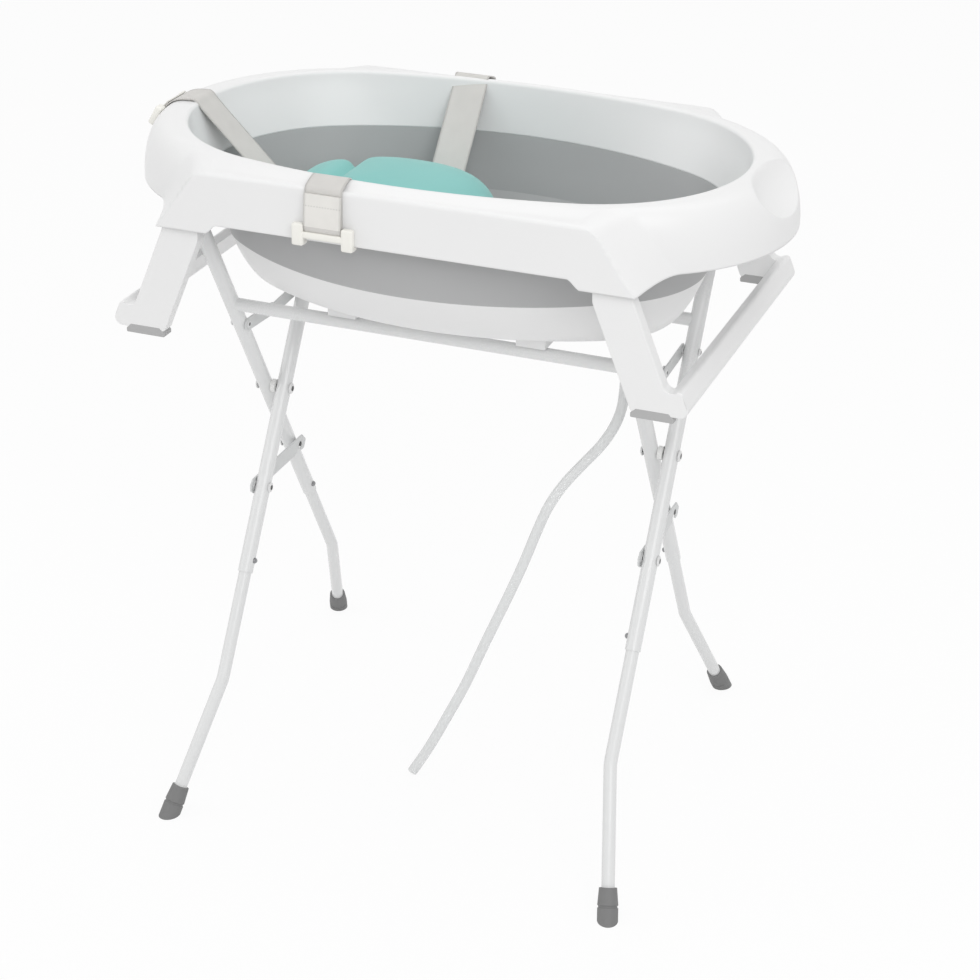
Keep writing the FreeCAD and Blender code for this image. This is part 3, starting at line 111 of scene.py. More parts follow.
def smooth_line(name, points, diameter):
    """A NURBS curve of order 3 on the points, clamped at both ends, with a round bevel.

    The points' radius carries the thickness and the bevel depth is 1, because a curve's box is padded by
    that radius.
    """
    curve = bpy.data.curves.new(name, "CURVE")
    curve.dimensions = "3D"
    curve.bevel_depth = 1.0
    curve.bevel_resolution = HOSE_ROUND_STEPS
    curve.resolution_u = HOSE_SPAN_STEPS
    curve.use_fill_caps = True
    line = curve.splines.new("NURBS")
    line.points.add(len(points) - 1)
    line.points.foreach_set("co", np.c_[np.array(points), np.ones(len(points))].ravel())
    line.points.foreach_set("radius", np.full(len(points), diameter / 2))
    line.order_u = 3
    line.use_endpoint_u = True
    made = bpy.data.objects.new(name, curve)
    scene.collection.objects.link(made)
    return made


hose_points = np.array(HOSE_ROUTE) * MM
hose = smooth_line("hose", hose_points, HOSE_DIAMETER)
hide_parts("drain_hose")
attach(hose, "base")

# %% [markdown]
# Most new pieces are grids: rows of points that numpy works out as one array, joined into quads. A grid
# can close round on itself in either direction, and its first and last row can be capped. Modelling by
# hand would give the same faces, but a grid keeps the formula readable and can be tried again with other
# numbers.

# %% Grid to mesh
def grid_faces(shape, first, ring_rows, ring_columns, caps, flip):
    """Quads of a grid whose points are numbered from first: each joins a point to the next row and column."""
    rows, columns = shape[:2]
    number = first + np.arange(rows * columns).reshape(rows, columns)
    ends = (number[0][::-1], number[-1]) if not flip else (number[0], number[-1][::-1])
    if ring_rows:
        number = np.concatenate((number, number[:1]))
    if ring_columns:
        number = np.concatenate((number, number[:, :1]), axis=1)
    corners = (number[:-1, :-1], number[:-1, 1:], number[1:, 1:], number[1:, :-1])
    quads = np.stack(corners[::-1] if flip else corners, axis=-1).reshape(-1, 4).tolist()
    return quads + ([end.tolist() for end in ends] if caps else [])


def surface(name, *grids, ring_rows=False, ring_columns=False, caps=False, flip=False, uv=None, angle=None):
    """One object from one or more (rows, columns, 3) grids, smooth but for edges sharper than an angle."""
    faces, first = [], 0
    for grid in grids:
        faces += grid_faces(grid.shape, first, ring_rows, ring_columns, caps, flip)
        first += grid.shape[0] * grid.shape[1]
    mesh = bpy.data.meshes.new(name)
    mesh.from_pydata(np.concatenate([grid.reshape(-1, 3) for grid in grids]).tolist(), [], faces)
    if uv is not None:
        layer = mesh.uv_layers.new(name="UVMap")
        corner_points = np.empty(len(mesh.loops), dtype=np.int32)
        mesh.loops.foreach_get("vertex_index", corner_points)
        layer.data.foreach_set("uv", uv.reshape(-1, 2)[corner_points].astype(np.float32).ravel())
    mesh.shade_smooth()
    if angle is not None:
        mesh.set_sharp_from_angle(angle=angle)
    made = bpy.data.objects.new(name, mesh)
    scene.collection.objects.link(made)
    return made


def wear(piece, node, body=None):
    """The piece stands for a node, which is hidden, and rides on its body if one is given."""
    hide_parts(node)
    if body:
        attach(piece, body)
    print(piece.name, "has", len(piece.data.polygons), "faces")
    return piece


def smoothstep(value):
    """3v² - 2v³ between 0 and 1."""
    share = np.clip(value, 0, 1)
    return share * share * (3 - 2 * share)


# %% [markdown]
# The bath's plan is an oval of four arcs: a small radius round each end and a large one along each side.
# Points are spread by equal shares of the arc length, so the rows of two different ovals stay in step
# and can be blended.

# %% The oval plan
def oval(half_length, half_width, end_radius, share):
    """Point at a share of the way round, from the right end towards the back.

    The end arc has its centre at c = half length - r. The side arc's radius
    R = (c² + w² - r²) / 2(w - r) makes both meet on one tangent, at the angle whose tangent is (R - w) / c.
    """
    centre = half_length - end_radius
    side_radius = (centre**2 + half_width**2 - end_radius**2) / (2 * (half_width - end_radius))
    drop = side_radius - half_width
    meet = np.arctan2(drop, centre)
    end_arc = end_radius * meet
    quarter = end_arc + side_radius * (np.pi / 2 - meet)
    turns = np.mod(np.asarray(share, float), 1) * 4
    number = np.floor(turns)
    along = np.where(number % 2 == 0, turns - number, 1 - turns + number) * quarter
    end_angle = along / end_radius
    side_angle = meet + (along - end_arc) / side_radius
    on_end = along < end_arc
    x = np.where(on_end, centre + end_radius * np.cos(end_angle), side_radius * np.cos(side_angle))
    y = np.where(on_end, end_radius * np.sin(end_angle), side_radius * np.sin(side_angle) - drop)
    return x * np.where((number == 0) | (number == 3), 1, -1), y * np.where(number < 2, 1, -1)


rim_low, rim_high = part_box("bath_rim")
RIM_PLAN = (400 * MM, 222 * MM, 205 * MM)
MOUTH_PLAN = (345 * MM, 212.5 * MM, 194 * MM)
THROAT_PLAN = (321 * MM, 206 * MM, 168 * MM)
SEAM_PLAN = (297 * MM, 196 * MM, 138 * MM)
FOOT_PLAN = (248 * MM, 118 * MM, 77 * MM)
CREST, SKIRT, THROAT_HEIGHT, SEAM_HEIGHT = 845 * MM, 773 * MM, 780 * MM, 708 * MM
PANEL_REACH = 235 * MM
print("rim box", np.round(rim_low, 3), np.round(rim_high, 3))


def narrowed(plan, by):
    """The same oval a little smaller all round."""
    return tuple(size - by for size in plan)


# %% [markdown]
# The rim is the bath's one big soft form: a broad dome at both ends, and along each side a flat panel
# that hides the leg hinges. It could be sculpted. A formula is steadier: one profile for the dome, one
# for the panel, and a weight that goes from one to the other at the panel's slanted ends. The columns of
# the grid are pushed to run along those slanted ends, because an edge that crosses a grid shows as steps.

# %% Rim
ROUND_SAMPLES = 780
DOME_POWER, DOME_SAMPLES = 3.6, 400
LIP_ROUND = 5 * MM
INNER_ROWS, LIP_ROWS, OUTER_ROWS = 6, 5, 52
PANEL_TOP, PANEL_BOTTOM, NOTCH = 838 * MM, 765 * MM, 776 * MM
PANEL_ROUND = 4 * MM
PANEL_CORNER = 32 * MM
PANEL_HALF_TOP, PANEL_HALF_BOTTOM = 235 * MM, 288 * MM
PANEL_LEAN = np.arctan2(PANEL_HALF_BOTTOM - PANEL_HALF_TOP, PANEL_TOP - PANEL_BOTTOM)
VALLEY_SHARE, VALLEY_STEPS, EDGE_STEPS = 0.75, 20, 8
NOTCH_HALF = 212 * MM
END_FADE, FADE_POWER = 30 * MM, 2.4
PUSH_INWARDS, PUSH_OUTWARDS = 130 * MM, 80 * MM
QUARTER_SAMPLES = 600
RIM_WALL = 3 * MM
SCOOP_CENTRE = (435 * MM, 0.0, 860 * MM)
SCOOP_HALVES = (85 * MM, 115 * MM, 66 * MM)
SCOOP_EDGE = 1.2 * MM


def panel_end(height):
    """Half length of the panel at a height: a slanted line, and above it the corner's arc, on one tangent."""
    slant = PANEL_HALF_BOTTOM - (height - PANEL_BOTTOM) * np.tan(PANEL_LEAN)
    tangent = PANEL_TOP - PANEL_CORNER * (1 - np.sin(PANEL_LEAN))
    touching = PANEL_HALF_BOTTOM - (tangent - PANEL_BOTTOM) * np.tan(PANEL_LEAN)
    rise = np.clip(height - (PANEL_TOP - PANEL_CORNER), 0, PANEL_CORNER)
    arc = touching - PANEL_CORNER * np.cos(PANEL_LEAN) + np.sqrt(PANEL_CORNER**2 - rise**2)
    return np.where(height > tangent, arc, slant)


def along_line(points, count):
    """Equal steps along a line of points, by interpolating on its running length."""
    line = np.array(points, float)
    length = np.r_[0, np.cumsum(np.linalg.norm(np.diff(line, axis=0), axis=1))]
    step = np.linspace(0, length[-1], count)
    return np.stack([np.interp(step, length, line[:, axis]) for axis in range(line.shape[1])], axis=-1)


def dome_profile(count):
    """Share from mouth to skirt e, and height share (1 - e^n)^½, in equal steps along the curve."""
    wide, tall = RIM_PLAN[0] - MOUTH_PLAN[0], CREST - SKIRT
    e = np.sin(np.linspace(0, np.pi / 2, DOME_SAMPLES)) ** (2 / DOME_POWER)
    height = np.sqrt(1 - e**DOME_POWER)
    line = along_line(np.stack((e * wide, height * tall), axis=-1), count)
    return line[:, 0] / wide, line[:, 1] / tall


def panel_profile(count):
    """Share from mouth to panel face, and height, over a shallow valley, round the edge and down the face."""
    reach = PANEL_REACH - MOUTH_PLAN[1]
    turn = np.linspace(0, np.pi / 2, EDGE_STEPS)
    across = np.linspace(0, reach - PANEL_ROUND, VALLEY_STEPS)
    fall = smoothstep(across / (VALLEY_SHARE * reach))
    valley = np.stack((across, CREST - (CREST - PANEL_TOP) * fall), axis=-1)
    edge_out = reach - PANEL_ROUND * (1 - np.sin(turn))
    edge_height = PANEL_TOP - PANEL_ROUND * (1 - np.cos(turn))
    edge = np.stack((edge_out, edge_height), axis=-1)
    line = along_line(np.concatenate((valley, edge, [(reach, PANEL_BOTTOM)])), count)
    return line[:, 0] / reach, line[:, 1]


def scooped(x, y, z):
    """Soft lowest of the rim's height and the hand hollow's, which is the under side of an ellipsoid."""
    reach = 1 - ((x - SCOOP_CENTRE[0]) / SCOOP_HALVES[0]) ** 2 - (y / SCOOP_HALVES[1]) ** 2
    floor = SCOOP_CENTRE[2] - SCOOP_HALVES[2] * np.sqrt(np.clip(reach, 0, 1))
    return -SCOOP_EDGE * np.logaddexp(-z / SCOOP_EDGE, -floor / SCOOP_EDGE)


def rim_grid():
    """Rows: up the inner wall, round the lip, over the top, down the outside."""
    share = np.linspace(0, 1, ROUND_SAMPLES, endpoint=False)
    e, dome_height = (values[:, None] for values in dome_profile(OUTER_ROWS))
    across, panel_height = (values[:, None] for values in panel_profile(OUTER_ROWS))

    def ring(places):
        mouth = oval(*MOUTH_PLAN, places)
        skirt = oval(*RIM_PLAN, places)
        return [inner + (outer - inner) * e for inner, outer in zip(mouth, skirt)], mouth

    middle = (PANEL_HALF_TOP + PANEL_HALF_BOTTOM) / 2
    (x, y), _ = ring(np.broadcast_to(share, (OUTER_ROWS, ROUND_SAMPLES)))
    push = np.where(np.abs(x) < middle, PUSH_INWARDS, PUSH_OUTWARDS)
    nearness = np.clip(1 - ((np.abs(x) - middle) / push) ** 2, 0, 1) ** 2
    wanted = np.abs(x) + (panel_end(panel_height) - middle) * nearness
    quarter = np.linspace(0, 0.25, QUARTER_SAMPLES)
    (table, _), _ = ring(np.broadcast_to(quarter, (OUTER_ROWS, QUARTER_SAMPLES)))
    found = np.stack([np.interp(row, line[::-1], quarter[::-1]) for row, line in zip(wanted, table)])
    number = np.floor(share * 4)
    moved = np.where(number == 0, found, np.where(number == 1, 0.5 - found,
                     np.where(number == 2, 0.5 + found, 1 - found)))
    places = np.where(nearness > 0, moved, share)
    (x, y), mouth = ring(places)
    z = SKIRT + dome_height * (CREST - SKIRT) + 0 * x
    bottom = NOTCH - np.clip((np.abs(x) - NOTCH_HALF), 0, NOTCH - PANEL_BOTTOM)
    face_height = np.maximum(panel_height, PANEL_BOTTOM) + 0 * x
    face_top = PANEL_TOP - PANEL_ROUND
    stretch = (face_top - bottom) / (face_top - PANEL_BOTTOM)
    stretched = face_top - (face_top - face_height) * stretch
    face_height = np.where(face_height < face_top, stretched, face_height)
    face = np.abs(mouth[1]) + (PANEL_REACH - np.abs(mouth[1])) * across
    leave = np.clip((np.abs(x) - panel_end(panel_height)) / END_FADE, 0, 1)
    weight = (1 - leave) ** FADE_POWER
    y = np.sign(y) * (np.abs(y) + (face - np.abs(y)) * weight)
    z = z + (face_height - z) * weight
    outside = np.stack((x, y, scooped(x, y, z)), axis=-1)

    lip_turn = np.linspace(0, np.pi / 2, LIP_ROWS, endpoint=False)[:, None]
    lip_ring = oval(*narrowed(MOUTH_PLAN, LIP_ROUND), places[0])
    lip_x = lip_ring[0] + (mouth[0][0] - lip_ring[0]) * (1 - np.cos(lip_turn))
    lip_y = lip_ring[1] + (mouth[1][0] - lip_ring[1]) * (1 - np.cos(lip_turn))
    lip_z = CREST - LIP_ROUND * (1 - np.sin(lip_turn)) + 0 * lip_x
    lip = np.stack((lip_x, lip_y, lip_z), axis=-1)

    rise = np.linspace(0, 1, INNER_ROWS, endpoint=False)[:, None] ** 2
    low_ring = oval(*narrowed(THROAT_PLAN, RIM_WALL), places[0])
    wall_x = low_ring[0] + (lip_ring[0] - low_ring[0]) * rise
    wall_y = low_ring[1] + (lip_ring[1] - low_ring[1]) * rise
    wall_z = THROAT_HEIGHT + (CREST - LIP_ROUND - THROAT_HEIGHT) * rise + 0 * wall_x
    inner = np.stack((wall_x, wall_y, wall_z), axis=-1)
    return np.concatenate((inner, lip, outside))


def thicken(piece, thickness, offset=-1):
    """A wall on one side of the surface: -1 is the side its normals point away from, 0 is half each way."""
    wall = piece.modifiers.new("wall", "SOLIDIFY")
    wall.thickness = thickness
    wall.offset = offset


rim_points = rim_grid()
rim = surface("rim", rim_points, ring_columns=True, flip=True)
thicken(rim, RIM_WALL)
wear(rim, "bath_rim", "bath")
print("rim spans", np.round(np.ptp(rim_points.reshape(-1, 3), axis=0), 4))

# %% [markdown]
# Between the rim and the base is a wall of soft rubber that folds up when the bath is pushed flat. Open,
# it is a smooth funnel with a slight swell. One closed profile, down the outside and up the inside, goes
# round the oval, so the wall has its true thickness without a modifier.

# %% Folding wall
WALL_THICKNESS = 3 * MM
WALL_SWELL = 1.5 * MM
WALL_ROWS, WALL_COLUMNS = 24, 360
SHELL_ANGLE = 0.7


def between(first, second, share):
    """Oval sizes part of the way from one plan to another."""
    return tuple(start + (end - start) * share for start, end in zip(first, second))


def ring_of(plan, height, share):
    """One row of the grid: an oval at a height."""
    x, y = oval(*plan, share)
    return np.stack((x, y, height + 0 * x), axis=-1)


round_share = np.linspace(0, 1, WALL_COLUMNS, endpoint=False)
steps = np.linspace(0, 1, WALL_ROWS)
wall_rows = []
for inset, way in ((0, steps), (WALL_THICKNESS, steps[::-1])):
    for step in way:
        plan = narrowed(between(THROAT_PLAN, SEAM_PLAN, step), inset - WALL_SWELL * np.sin(np.pi * step))
        wall_rows.append(ring_of(plan, THROAT_HEIGHT + (SEAM_HEIGHT - THROAT_HEIGHT) * step, round_share))
wall = surface("folding_wall", np.stack(wall_rows), ring_rows=True, ring_columns=True, flip=True,
               angle=SHELL_ANGLE)
wear(wall, "collapsible_wall")
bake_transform(wall)

# %% [markdown]
# The base is a shallow basin with a soft lower edge. Its outline swells with the square root of the
# height, which starts level at the foot and turns upright at the seam. The same rows carry on over the
# edge, down the inside and across the floor to the drain hole, so the basin is one closed skin. Its
# inside is grey like the wall.

# %% Basin
BASE_BOTTOM = 642 * MM
BASE_WALL = 3 * MM
DRAIN_PLACE = 208 * MM
DRAIN_HOLE = 15 * MM
BASE_ROWS = 28


def drain_ring(height, share):
    """A circle round the drain, in step with the ovals."""
    turn = 2 * np.pi * share
    x = DRAIN_PLACE + DRAIN_HOLE * np.cos(turn)
    return np.stack((x, DRAIN_HOLE * np.sin(turn), height + 0 * x), axis=-1)


climb = np.linspace(0, 1, BASE_ROWS) ** 2
base_rows = [drain_ring(BASE_BOTTOM, round_share)]
for inset, way in ((0, climb), (BASE_WALL, climb[::-1])):
    for step in way:
        plan = narrowed(between(FOOT_PLAN, SEAM_PLAN, np.sqrt(step)), inset)
        height = BASE_BOTTOM + inset + (SEAM_HEIGHT - BASE_BOTTOM - inset) * step
        base_rows.append(ring_of(plan, height, round_share))
base_rows.append(drain_ring(BASE_BOTTOM + BASE_WALL, round_share))
basin = surface("basin", np.stack(base_rows), ring_rows=True, ring_columns=True, angle=SHELL_ANGLE)
inside_face = np.zeros((len(base_rows), len(round_share)), dtype=np.int32)
inside_face[BASE_ROWS:] = 1
wear(basin, "bath_base", "base")

# %% [markdown]
# Each end of the bath folds out a leg frame: two flat arms from the hinges in the side panels, joined by
# a rail that stands out from their edges on a toe. The arm's outline is a polygon with round corners,
# carried through its thickness. A bevel softens the edges, and weighted normals keep the flat faces flat
# in the light. The left frame is the right one turned half round, and a grey pad is let into the end of
# every arm.

# %% Folding legs
HINGE_PLACE, HINGE_HEIGHT = 250 * MM, 782 * MM
SPLAY = np.radians(22)
ARM_HALF, ARM_NECK, KNUCKLE = 23 * MM, 24 * MM, 14 * MM
ARM_FACES = (211.5 * MM, 229 * MM)
ARM_ROUND = 2.5 * MM
ARM_CORNERS = np.array((4, 9, 5, 10, 12, 12, 11.5, 11.5, 12, 12)) * MM
LEG_END = 632 * MM
TOE_REACH = 18 * MM
RAIL_THICKNESS, RAIL_HEIGHT = 14 * MM, 34 * MM
RAIL_PROUD = 0.2 * MM
RAIL_CORNERS = np.array((1.2, 9, 5, 1.2)) * MM
PAD_LOW, PAD_HIGH = 625 * MM, 636 * MM
PAD_PROUD = 0.3 * MM
PAD_CHAMFER, PAD_CORNER, PAD_ROUND = 6 * MM, 1.5 * MM, 0.8 * MM
SOFT_SEGMENTS, SOFT_ANGLE = 3, np.radians(40)
HALF_TURN = np.array((-1.0, -1.0, 1.0))


def rounded_outline(corners, radii, steps=6):
    """A closed outline with round corners: an arc from tangent point to tangent point at each corner.

    With unit vectors a and b to the neighbours and h half the angle between them, the tangent points lie
    r / tan(h) away and the arc's centre lies r / sin(h) along a + b.
    """
    corner, radius = np.array(corners), np.reshape(radii, (-1, 1))
    ways = [np.roll(corner, shift, axis=0) - corner for shift in (1, -1)]
    a, b = (way / np.linalg.norm(way, axis=1, keepdims=True) for way in ways)
    half = np.arccos(np.sum(a * b, axis=1, keepdims=True)) / 2
    middle = (a + b) / np.linalg.norm(a + b, axis=1, keepdims=True)
    centre = corner + middle * radius / np.sin(half)
    first, last = (corner + way * radius / np.tan(half) - centre for way in (a, b))
    turn = np.pi - 2 * half
    arcs = [(first * np.sin((1 - share) * turn) + last * np.sin(share * turn)) / np.sin(turn)
            for share in np.linspace(0, 1, steps)]
    return (centre[:, None] + np.stack(arcs, axis=1)).reshape(-1, 2)


def plate_grid(outline, low, high):
    """An outline of X and Z carried along Y from low to high."""
    y = np.array((low, high))[:, None] + 0 * outline[:, 0]
    x, z = (outline[:, axis] + 0 * y for axis in range(2))
    return np.stack((x, y, z), axis=-1)[:, ::-1]


def in_leg(grid):
    """Turns a grid of across, Y and up about the hinge by the splay."""
    across, y, rise = np.moveaxis(grid, -1, 0)
    x = HINGE_PLACE + across * np.cos(SPLAY) - rise * np.sin(SPLAY)
    z = HINGE_HEIGHT + across * np.sin(SPLAY) + rise * np.cos(SPLAY)
    return np.stack((x, y, z), axis=-1)


def level(across):
    """Place along the arm where its level end lies."""
    return (LEG_END - HINGE_HEIGHT - across * np.sin(SPLAY)) / np.cos(SPLAY)


def soften(piece, width):
    """Rounds every edge sharper than the soft angle and lets the large faces lead the shading."""
    edge = piece.modifiers.new("soft_edges", "BEVEL")
    edge.width, edge.segments, edge.angle_limit = width, SOFT_SEGMENTS, SOFT_ANGLE
    piece.modifiers.new("flat_faces", "WEIGHTED_NORMAL")


toe = ARM_HALF + TOE_REACH
toe_top = level(toe) + RAIL_HEIGHT
arm_outline = rounded_outline((
    (-ARM_HALF, level(-ARM_HALF)), (toe, level(toe)), (toe, toe_top), (ARM_HALF, toe_top),
    (ARM_HALF, -ARM_NECK), (KNUCKLE, 0), (KNUCKLE, KNUCKLE), (-KNUCKLE, KNUCKLE), (-KNUCKLE, 0),
    (-ARM_HALF, -ARM_NECK),
), ARM_CORNERS)
rail_back, rail_front, rail_top = toe - RAIL_THICKNESS, toe + RAIL_PROUD, toe_top + RAIL_PROUD
rail_outline = rounded_outline((
    (rail_back, level(rail_back)), (rail_front, level(toe)), (rail_front, rail_top), (rail_back, rail_top),
), RAIL_CORNERS)
pad_middle = in_leg(np.array((0, 0, level(0))))[0]
pad_half = ARM_HALF / np.cos(SPLAY)
pad_corners = [(pad_middle + side * (pad_half - inset), z) for side, inset, z in (
    (-1, 0, PAD_LOW), (1, 0, PAD_LOW), (1, 0, PAD_HIGH - PAD_CHAMFER), (1, PAD_CHAMFER, PAD_HIGH),
    (-1, PAD_CHAMFER, PAD_HIGH), (-1, 0, PAD_HIGH - PAD_CHAMFER))]
pad_outline = rounded_outline(pad_corners, np.full(len(pad_corners), PAD_CORNER))
rail_reach = ARM_FACES[1] - RAIL_PROUD
near_arm = in_leg(plate_grid(arm_outline, -ARM_FACES[1], -ARM_FACES[0]))
far_arm = in_leg(plate_grid(arm_outline, *ARM_FACES))
rail = in_leg(plate_grid(rail_outline, -rail_reach, rail_reach))
pad_faces = np.array((ARM_FACES[0] - PAD_PROUD, ARM_FACES[1] + PAD_PROUD))
pads = [plate_grid(pad_outline, *sorted(facing * pad_faces)) for facing in (-1, 1)]
for side, turning in (("right", np.ones(3)), ("left", HALF_TURN)):
    leg = surface(side + "_leg_frame", *(grid * turning for grid in (near_arm, far_arm, rail)),
                  ring_columns=True, caps=True)
    soften(leg, ARM_ROUND)
    wear(leg, side + "_bath_leg", side + "_leg")
    soles = surface(side + "_leg_soles", *(grid * turning for grid in pads), ring_columns=True, caps=True)
    soften(soles, PAD_ROUND)
    wear(soles, side + "_leg_pads", side + "_leg")

# %% [markdown]
# The small mouldings that follow are blocks with every edge rounded. A bevelled cube would do, but a
# stack of rounded rectangles that draws in at both ends is one formula, and gives the same soft edge on
# blocks of any size.

# %% Loops and blocks
BLOCK_ANGLE = 0.9
SHARPEST = 20


def rounded_loop(half_x, half_y, radius, steps=5):
    """Rounded rectangles, one per row: four quarter circles whose centres sit in by the radius."""
    turn = np.linspace(0, np.pi / 2, steps)
    angle = np.concatenate([turn + quarter * np.pi / 2 for quarter in range(4)])
    middle = np.repeat(np.pi / 4 + np.arange(4) * np.pi / 2, steps)
    sizes = np.broadcast_arrays(half_x, half_y, radius)
    half_x, half_y, radius = (np.reshape(value, (-1, 1)) for value in sizes)
    x = np.sign(np.cos(middle)) * (half_x - radius) + radius * np.cos(angle)
    y = np.sign(np.sin(middle)) * (half_y - radius) + radius * np.sin(angle)
    return x, y


def rounded_ends(low, high, radius, steps=5):
    """Places along a bar and how far its section draws in there: a quarter circle at each end."""
    turn = np.linspace(0, np.pi / 2, steps)
    place = np.r_[low + radius * (1 - np.cos(turn)), high - radius * (1 - np.cos(turn[::-1]))]
    inset = np.r_[radius * (1 - np.sin(turn)), radius * (1 - np.sin(turn[::-1]))]
    return place, inset


def block_grid(low, high, radius):
    """A box with every edge rounded, as level loops."""
    low, high = np.array(low), np.array(high)
    z, inset = rounded_ends(low[2], high[2], radius)
    half = (high - low) / 2
    x, y = rounded_loop(half[0] - inset, half[1] - inset, np.maximum(radius - inset, radius / SHARPEST))
    middle = (high + low) / 2
    return np.stack((x + middle[0], y + middle[1], z[:, None] + 0 * x), axis=-1)


# %% [markdown]
# Inside each panel a small cheek carries the hinge pin. The cheeks are plain blocks with soft edges, and
# they belong to the rim.

# %% Hinge cheeks
CHEEK_FACES = (203.1 * MM, 211.1 * MM)
CHEEK_HALF = 17 * MM
CHEEK_SPAN = (768 * MM, 806 * MM)
CHEEK_ROUND = 1 * MM
cheeks = []
for hand in (-1, 1):
    for facing in (-1, 1):
        ends = sorted(facing * face for face in CHEEK_FACES)
        grid = block_grid((hand * HINGE_PLACE - CHEEK_HALF, ends[0], CHEEK_SPAN[0]),
                          (hand * HINGE_PLACE + CHEEK_HALF, ends[1], CHEEK_SPAN[1]), CHEEK_ROUND)
        cheeks.append(grid)
hinge_cheeks = surface("hinge_cheeks", *cheeks, ring_columns=True, caps=True, angle=BLOCK_ANGLE)
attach(hinge_cheeks, "bath")
print("hinge cheeks:", len(cheeks))

# %% [markdown]
# Three clips hold the cushion's straps: two blocks and a bar, moulded as one H. Rounded blocks joined
# together are enough, because the strap hides most of the bar. The clip on the left end leans with the
# dome.

# %% Strap clips
STRAP_PLACE = -75 * MM
STRAP_WIDTH = 45 * MM
CLIP_BLOCK = (14 * MM, 8.7 * MM, 26 * MM)
CLIP_GAP = 23.1 * MM
CLIP_BAR = (2.4 * MM, 8.4 * MM, 9 * MM, 17 * MM)
CLIP_HOOK = (-4.6 * MM, 4.5 * MM)
CLIP_LOW = 771.2 * MM
CLIP_SEAT = 0.3 * MM
BAR_ROUND, BLOCK_ROUND, HOOK_ROUND = 2.2 * MM, 2.4 * MM, 1.2 * MM
HEAD_CLIP_LOW = (395 * MM, 812 * MM)
HEAD_CLIP_LEAN = np.radians(30)


def clip_pieces(hook):
    """Grids of one clip in its own place: X across the strap, Y out from the face, Z up from its low end."""
    wide, deep, tall = CLIP_BLOCK
    grids = [block_grid((-CLIP_GAP - wide / 2, CLIP_BAR[0], CLIP_BAR[2]),
                        (CLIP_GAP + wide / 2, CLIP_BAR[1], CLIP_BAR[3]), BAR_ROUND)]
    for start in (-CLIP_GAP - wide, CLIP_GAP):
        end = start + wide
        grids.append(block_grid((start, CLIP_SEAT, 0), (end, CLIP_SEAT + deep, tall), BLOCK_ROUND))
        if hook:
            grids.append(block_grid((start, CLIP_HOOK[0], 0), (end, deep / 2, CLIP_HOOK[1]), HOOK_ROUND))
    return grids


def clip_at(name, place, hook):
    """One clip whose grids are put in place by a function of points."""
    grids = [place(grid) for grid in clip_pieces(hook)]
    made = surface(name, *grids, ring_columns=True, caps=True, angle=BLOCK_ANGLE)
    return wear(made, name.replace("_buckle", "_clip"), "bath")


def on_panel(facing):
    """Turns a clip's grid to the front or back panel."""
    turn = np.array((facing, facing, 1.0))
    seat = np.array((STRAP_PLACE, facing * PANEL_REACH, CLIP_LOW))
    return lambda grid: grid * turn + seat


def on_head(grid):
    """Leans a clip back by the dome's slope and turns it to the left end."""
    out = grid[..., 1] * np.cos(HEAD_CLIP_LEAN) - grid[..., 2] * np.sin(HEAD_CLIP_LEAN)
    rise = grid[..., 2] * np.cos(HEAD_CLIP_LEAN) + grid[..., 1] * np.sin(HEAD_CLIP_LEAN)
    return np.stack((-HEAD_CLIP_LOW[0] - out, grid[..., 0], HEAD_CLIP_LOW[1] + rise), axis=-1)


front_buckle = clip_at("front_buckle", on_panel(-1), True)
back_buckle = clip_at("back_buckle", on_panel(1), True)
head_buckle = clip_at("head_buckle", on_head, False)

# %% [markdown]
# The straps are flat webbing. Each one leaves the cushion, runs straight up to the lip, lies over the rim
# and hangs down to its clip, where the end folds back on itself and is stitched. A strap is a line
# carried sideways by its width: a quadratic spline guided by a few points bends it softly, and
# Solidify gives the cloth its thickness.

# %% Straps
STRAP_THICKNESS = 1.6 * MM
STRAP_ROWS, STRAP_COLUMNS = 240, 13
SIDE_LINE = np.array((
    (130, 745), (168, 791), (206, 838), (210.5, 847.2), (217, 847.0), (231, 842), (236.9, 838.5),
    (236.7, 826), (236.6, 800), (236.6, 791), (238.4, 787.8), (241.6, 790.5), (241.8, 803),
    (240.6, 815), (239.6, 827),
)) * MM
HEAD_LINE = np.array((
    (242, 745), (288, 791), (336, 838), (343, 847.6), (352, 847.4), (366, 846.2), (378, 841.2),
    (386.5, 832.6), (391.2, 826.8), (393.4, 824.6), (394.8, 826.4), (391.6, 830.2), (387.9, 834.1),
    (382.9, 839.2),
)) * MM


def soft_line(points, per_span=14):
    """Uniform quadratic spline: ½(1-t)² before + (½ + t - t²) at + ½t² after.

    A mirrored point at each end carries it half a span past the first and last of the given ones.
    """
    line = np.array(points, float)
    line = np.concatenate((2 * line[:1] - line[1:2], line, 2 * line[-1:] - line[-2:-1]))
    t = np.linspace(0, 1, per_span, endpoint=False)[None, :, None]
    before, at, after = (line[start:len(line) - 2 + start, None] for start in range(3))
    curve = 0.5 * (1 - t) ** 2 * before + (0.5 + t - t * t) * at + 0.5 * t * t * after
    return np.concatenate((curve.reshape(-1, line.shape[1]), (line[-2:-1] + line[-1:]) / 2))


def strap_grid(points):
    """A strap's line carried across its width: places across, out and up, UVs in metres, and its length."""
    line = along_line(soft_line(points), STRAP_ROWS)
    length = float(np.linalg.norm(np.diff(line, axis=0), axis=1).sum())
    across = np.linspace(-STRAP_WIDTH / 2, STRAP_WIDTH / 2, STRAP_COLUMNS) + np.zeros((STRAP_ROWS, 1))
    out, rise = line[:, :1] + 0 * across, line[:, 1:] + 0 * across
    uv = np.stack((across, np.linspace(0, length, STRAP_ROWS)[:, None] + 0 * across), axis=-1)
    return across, out, rise, uv, length


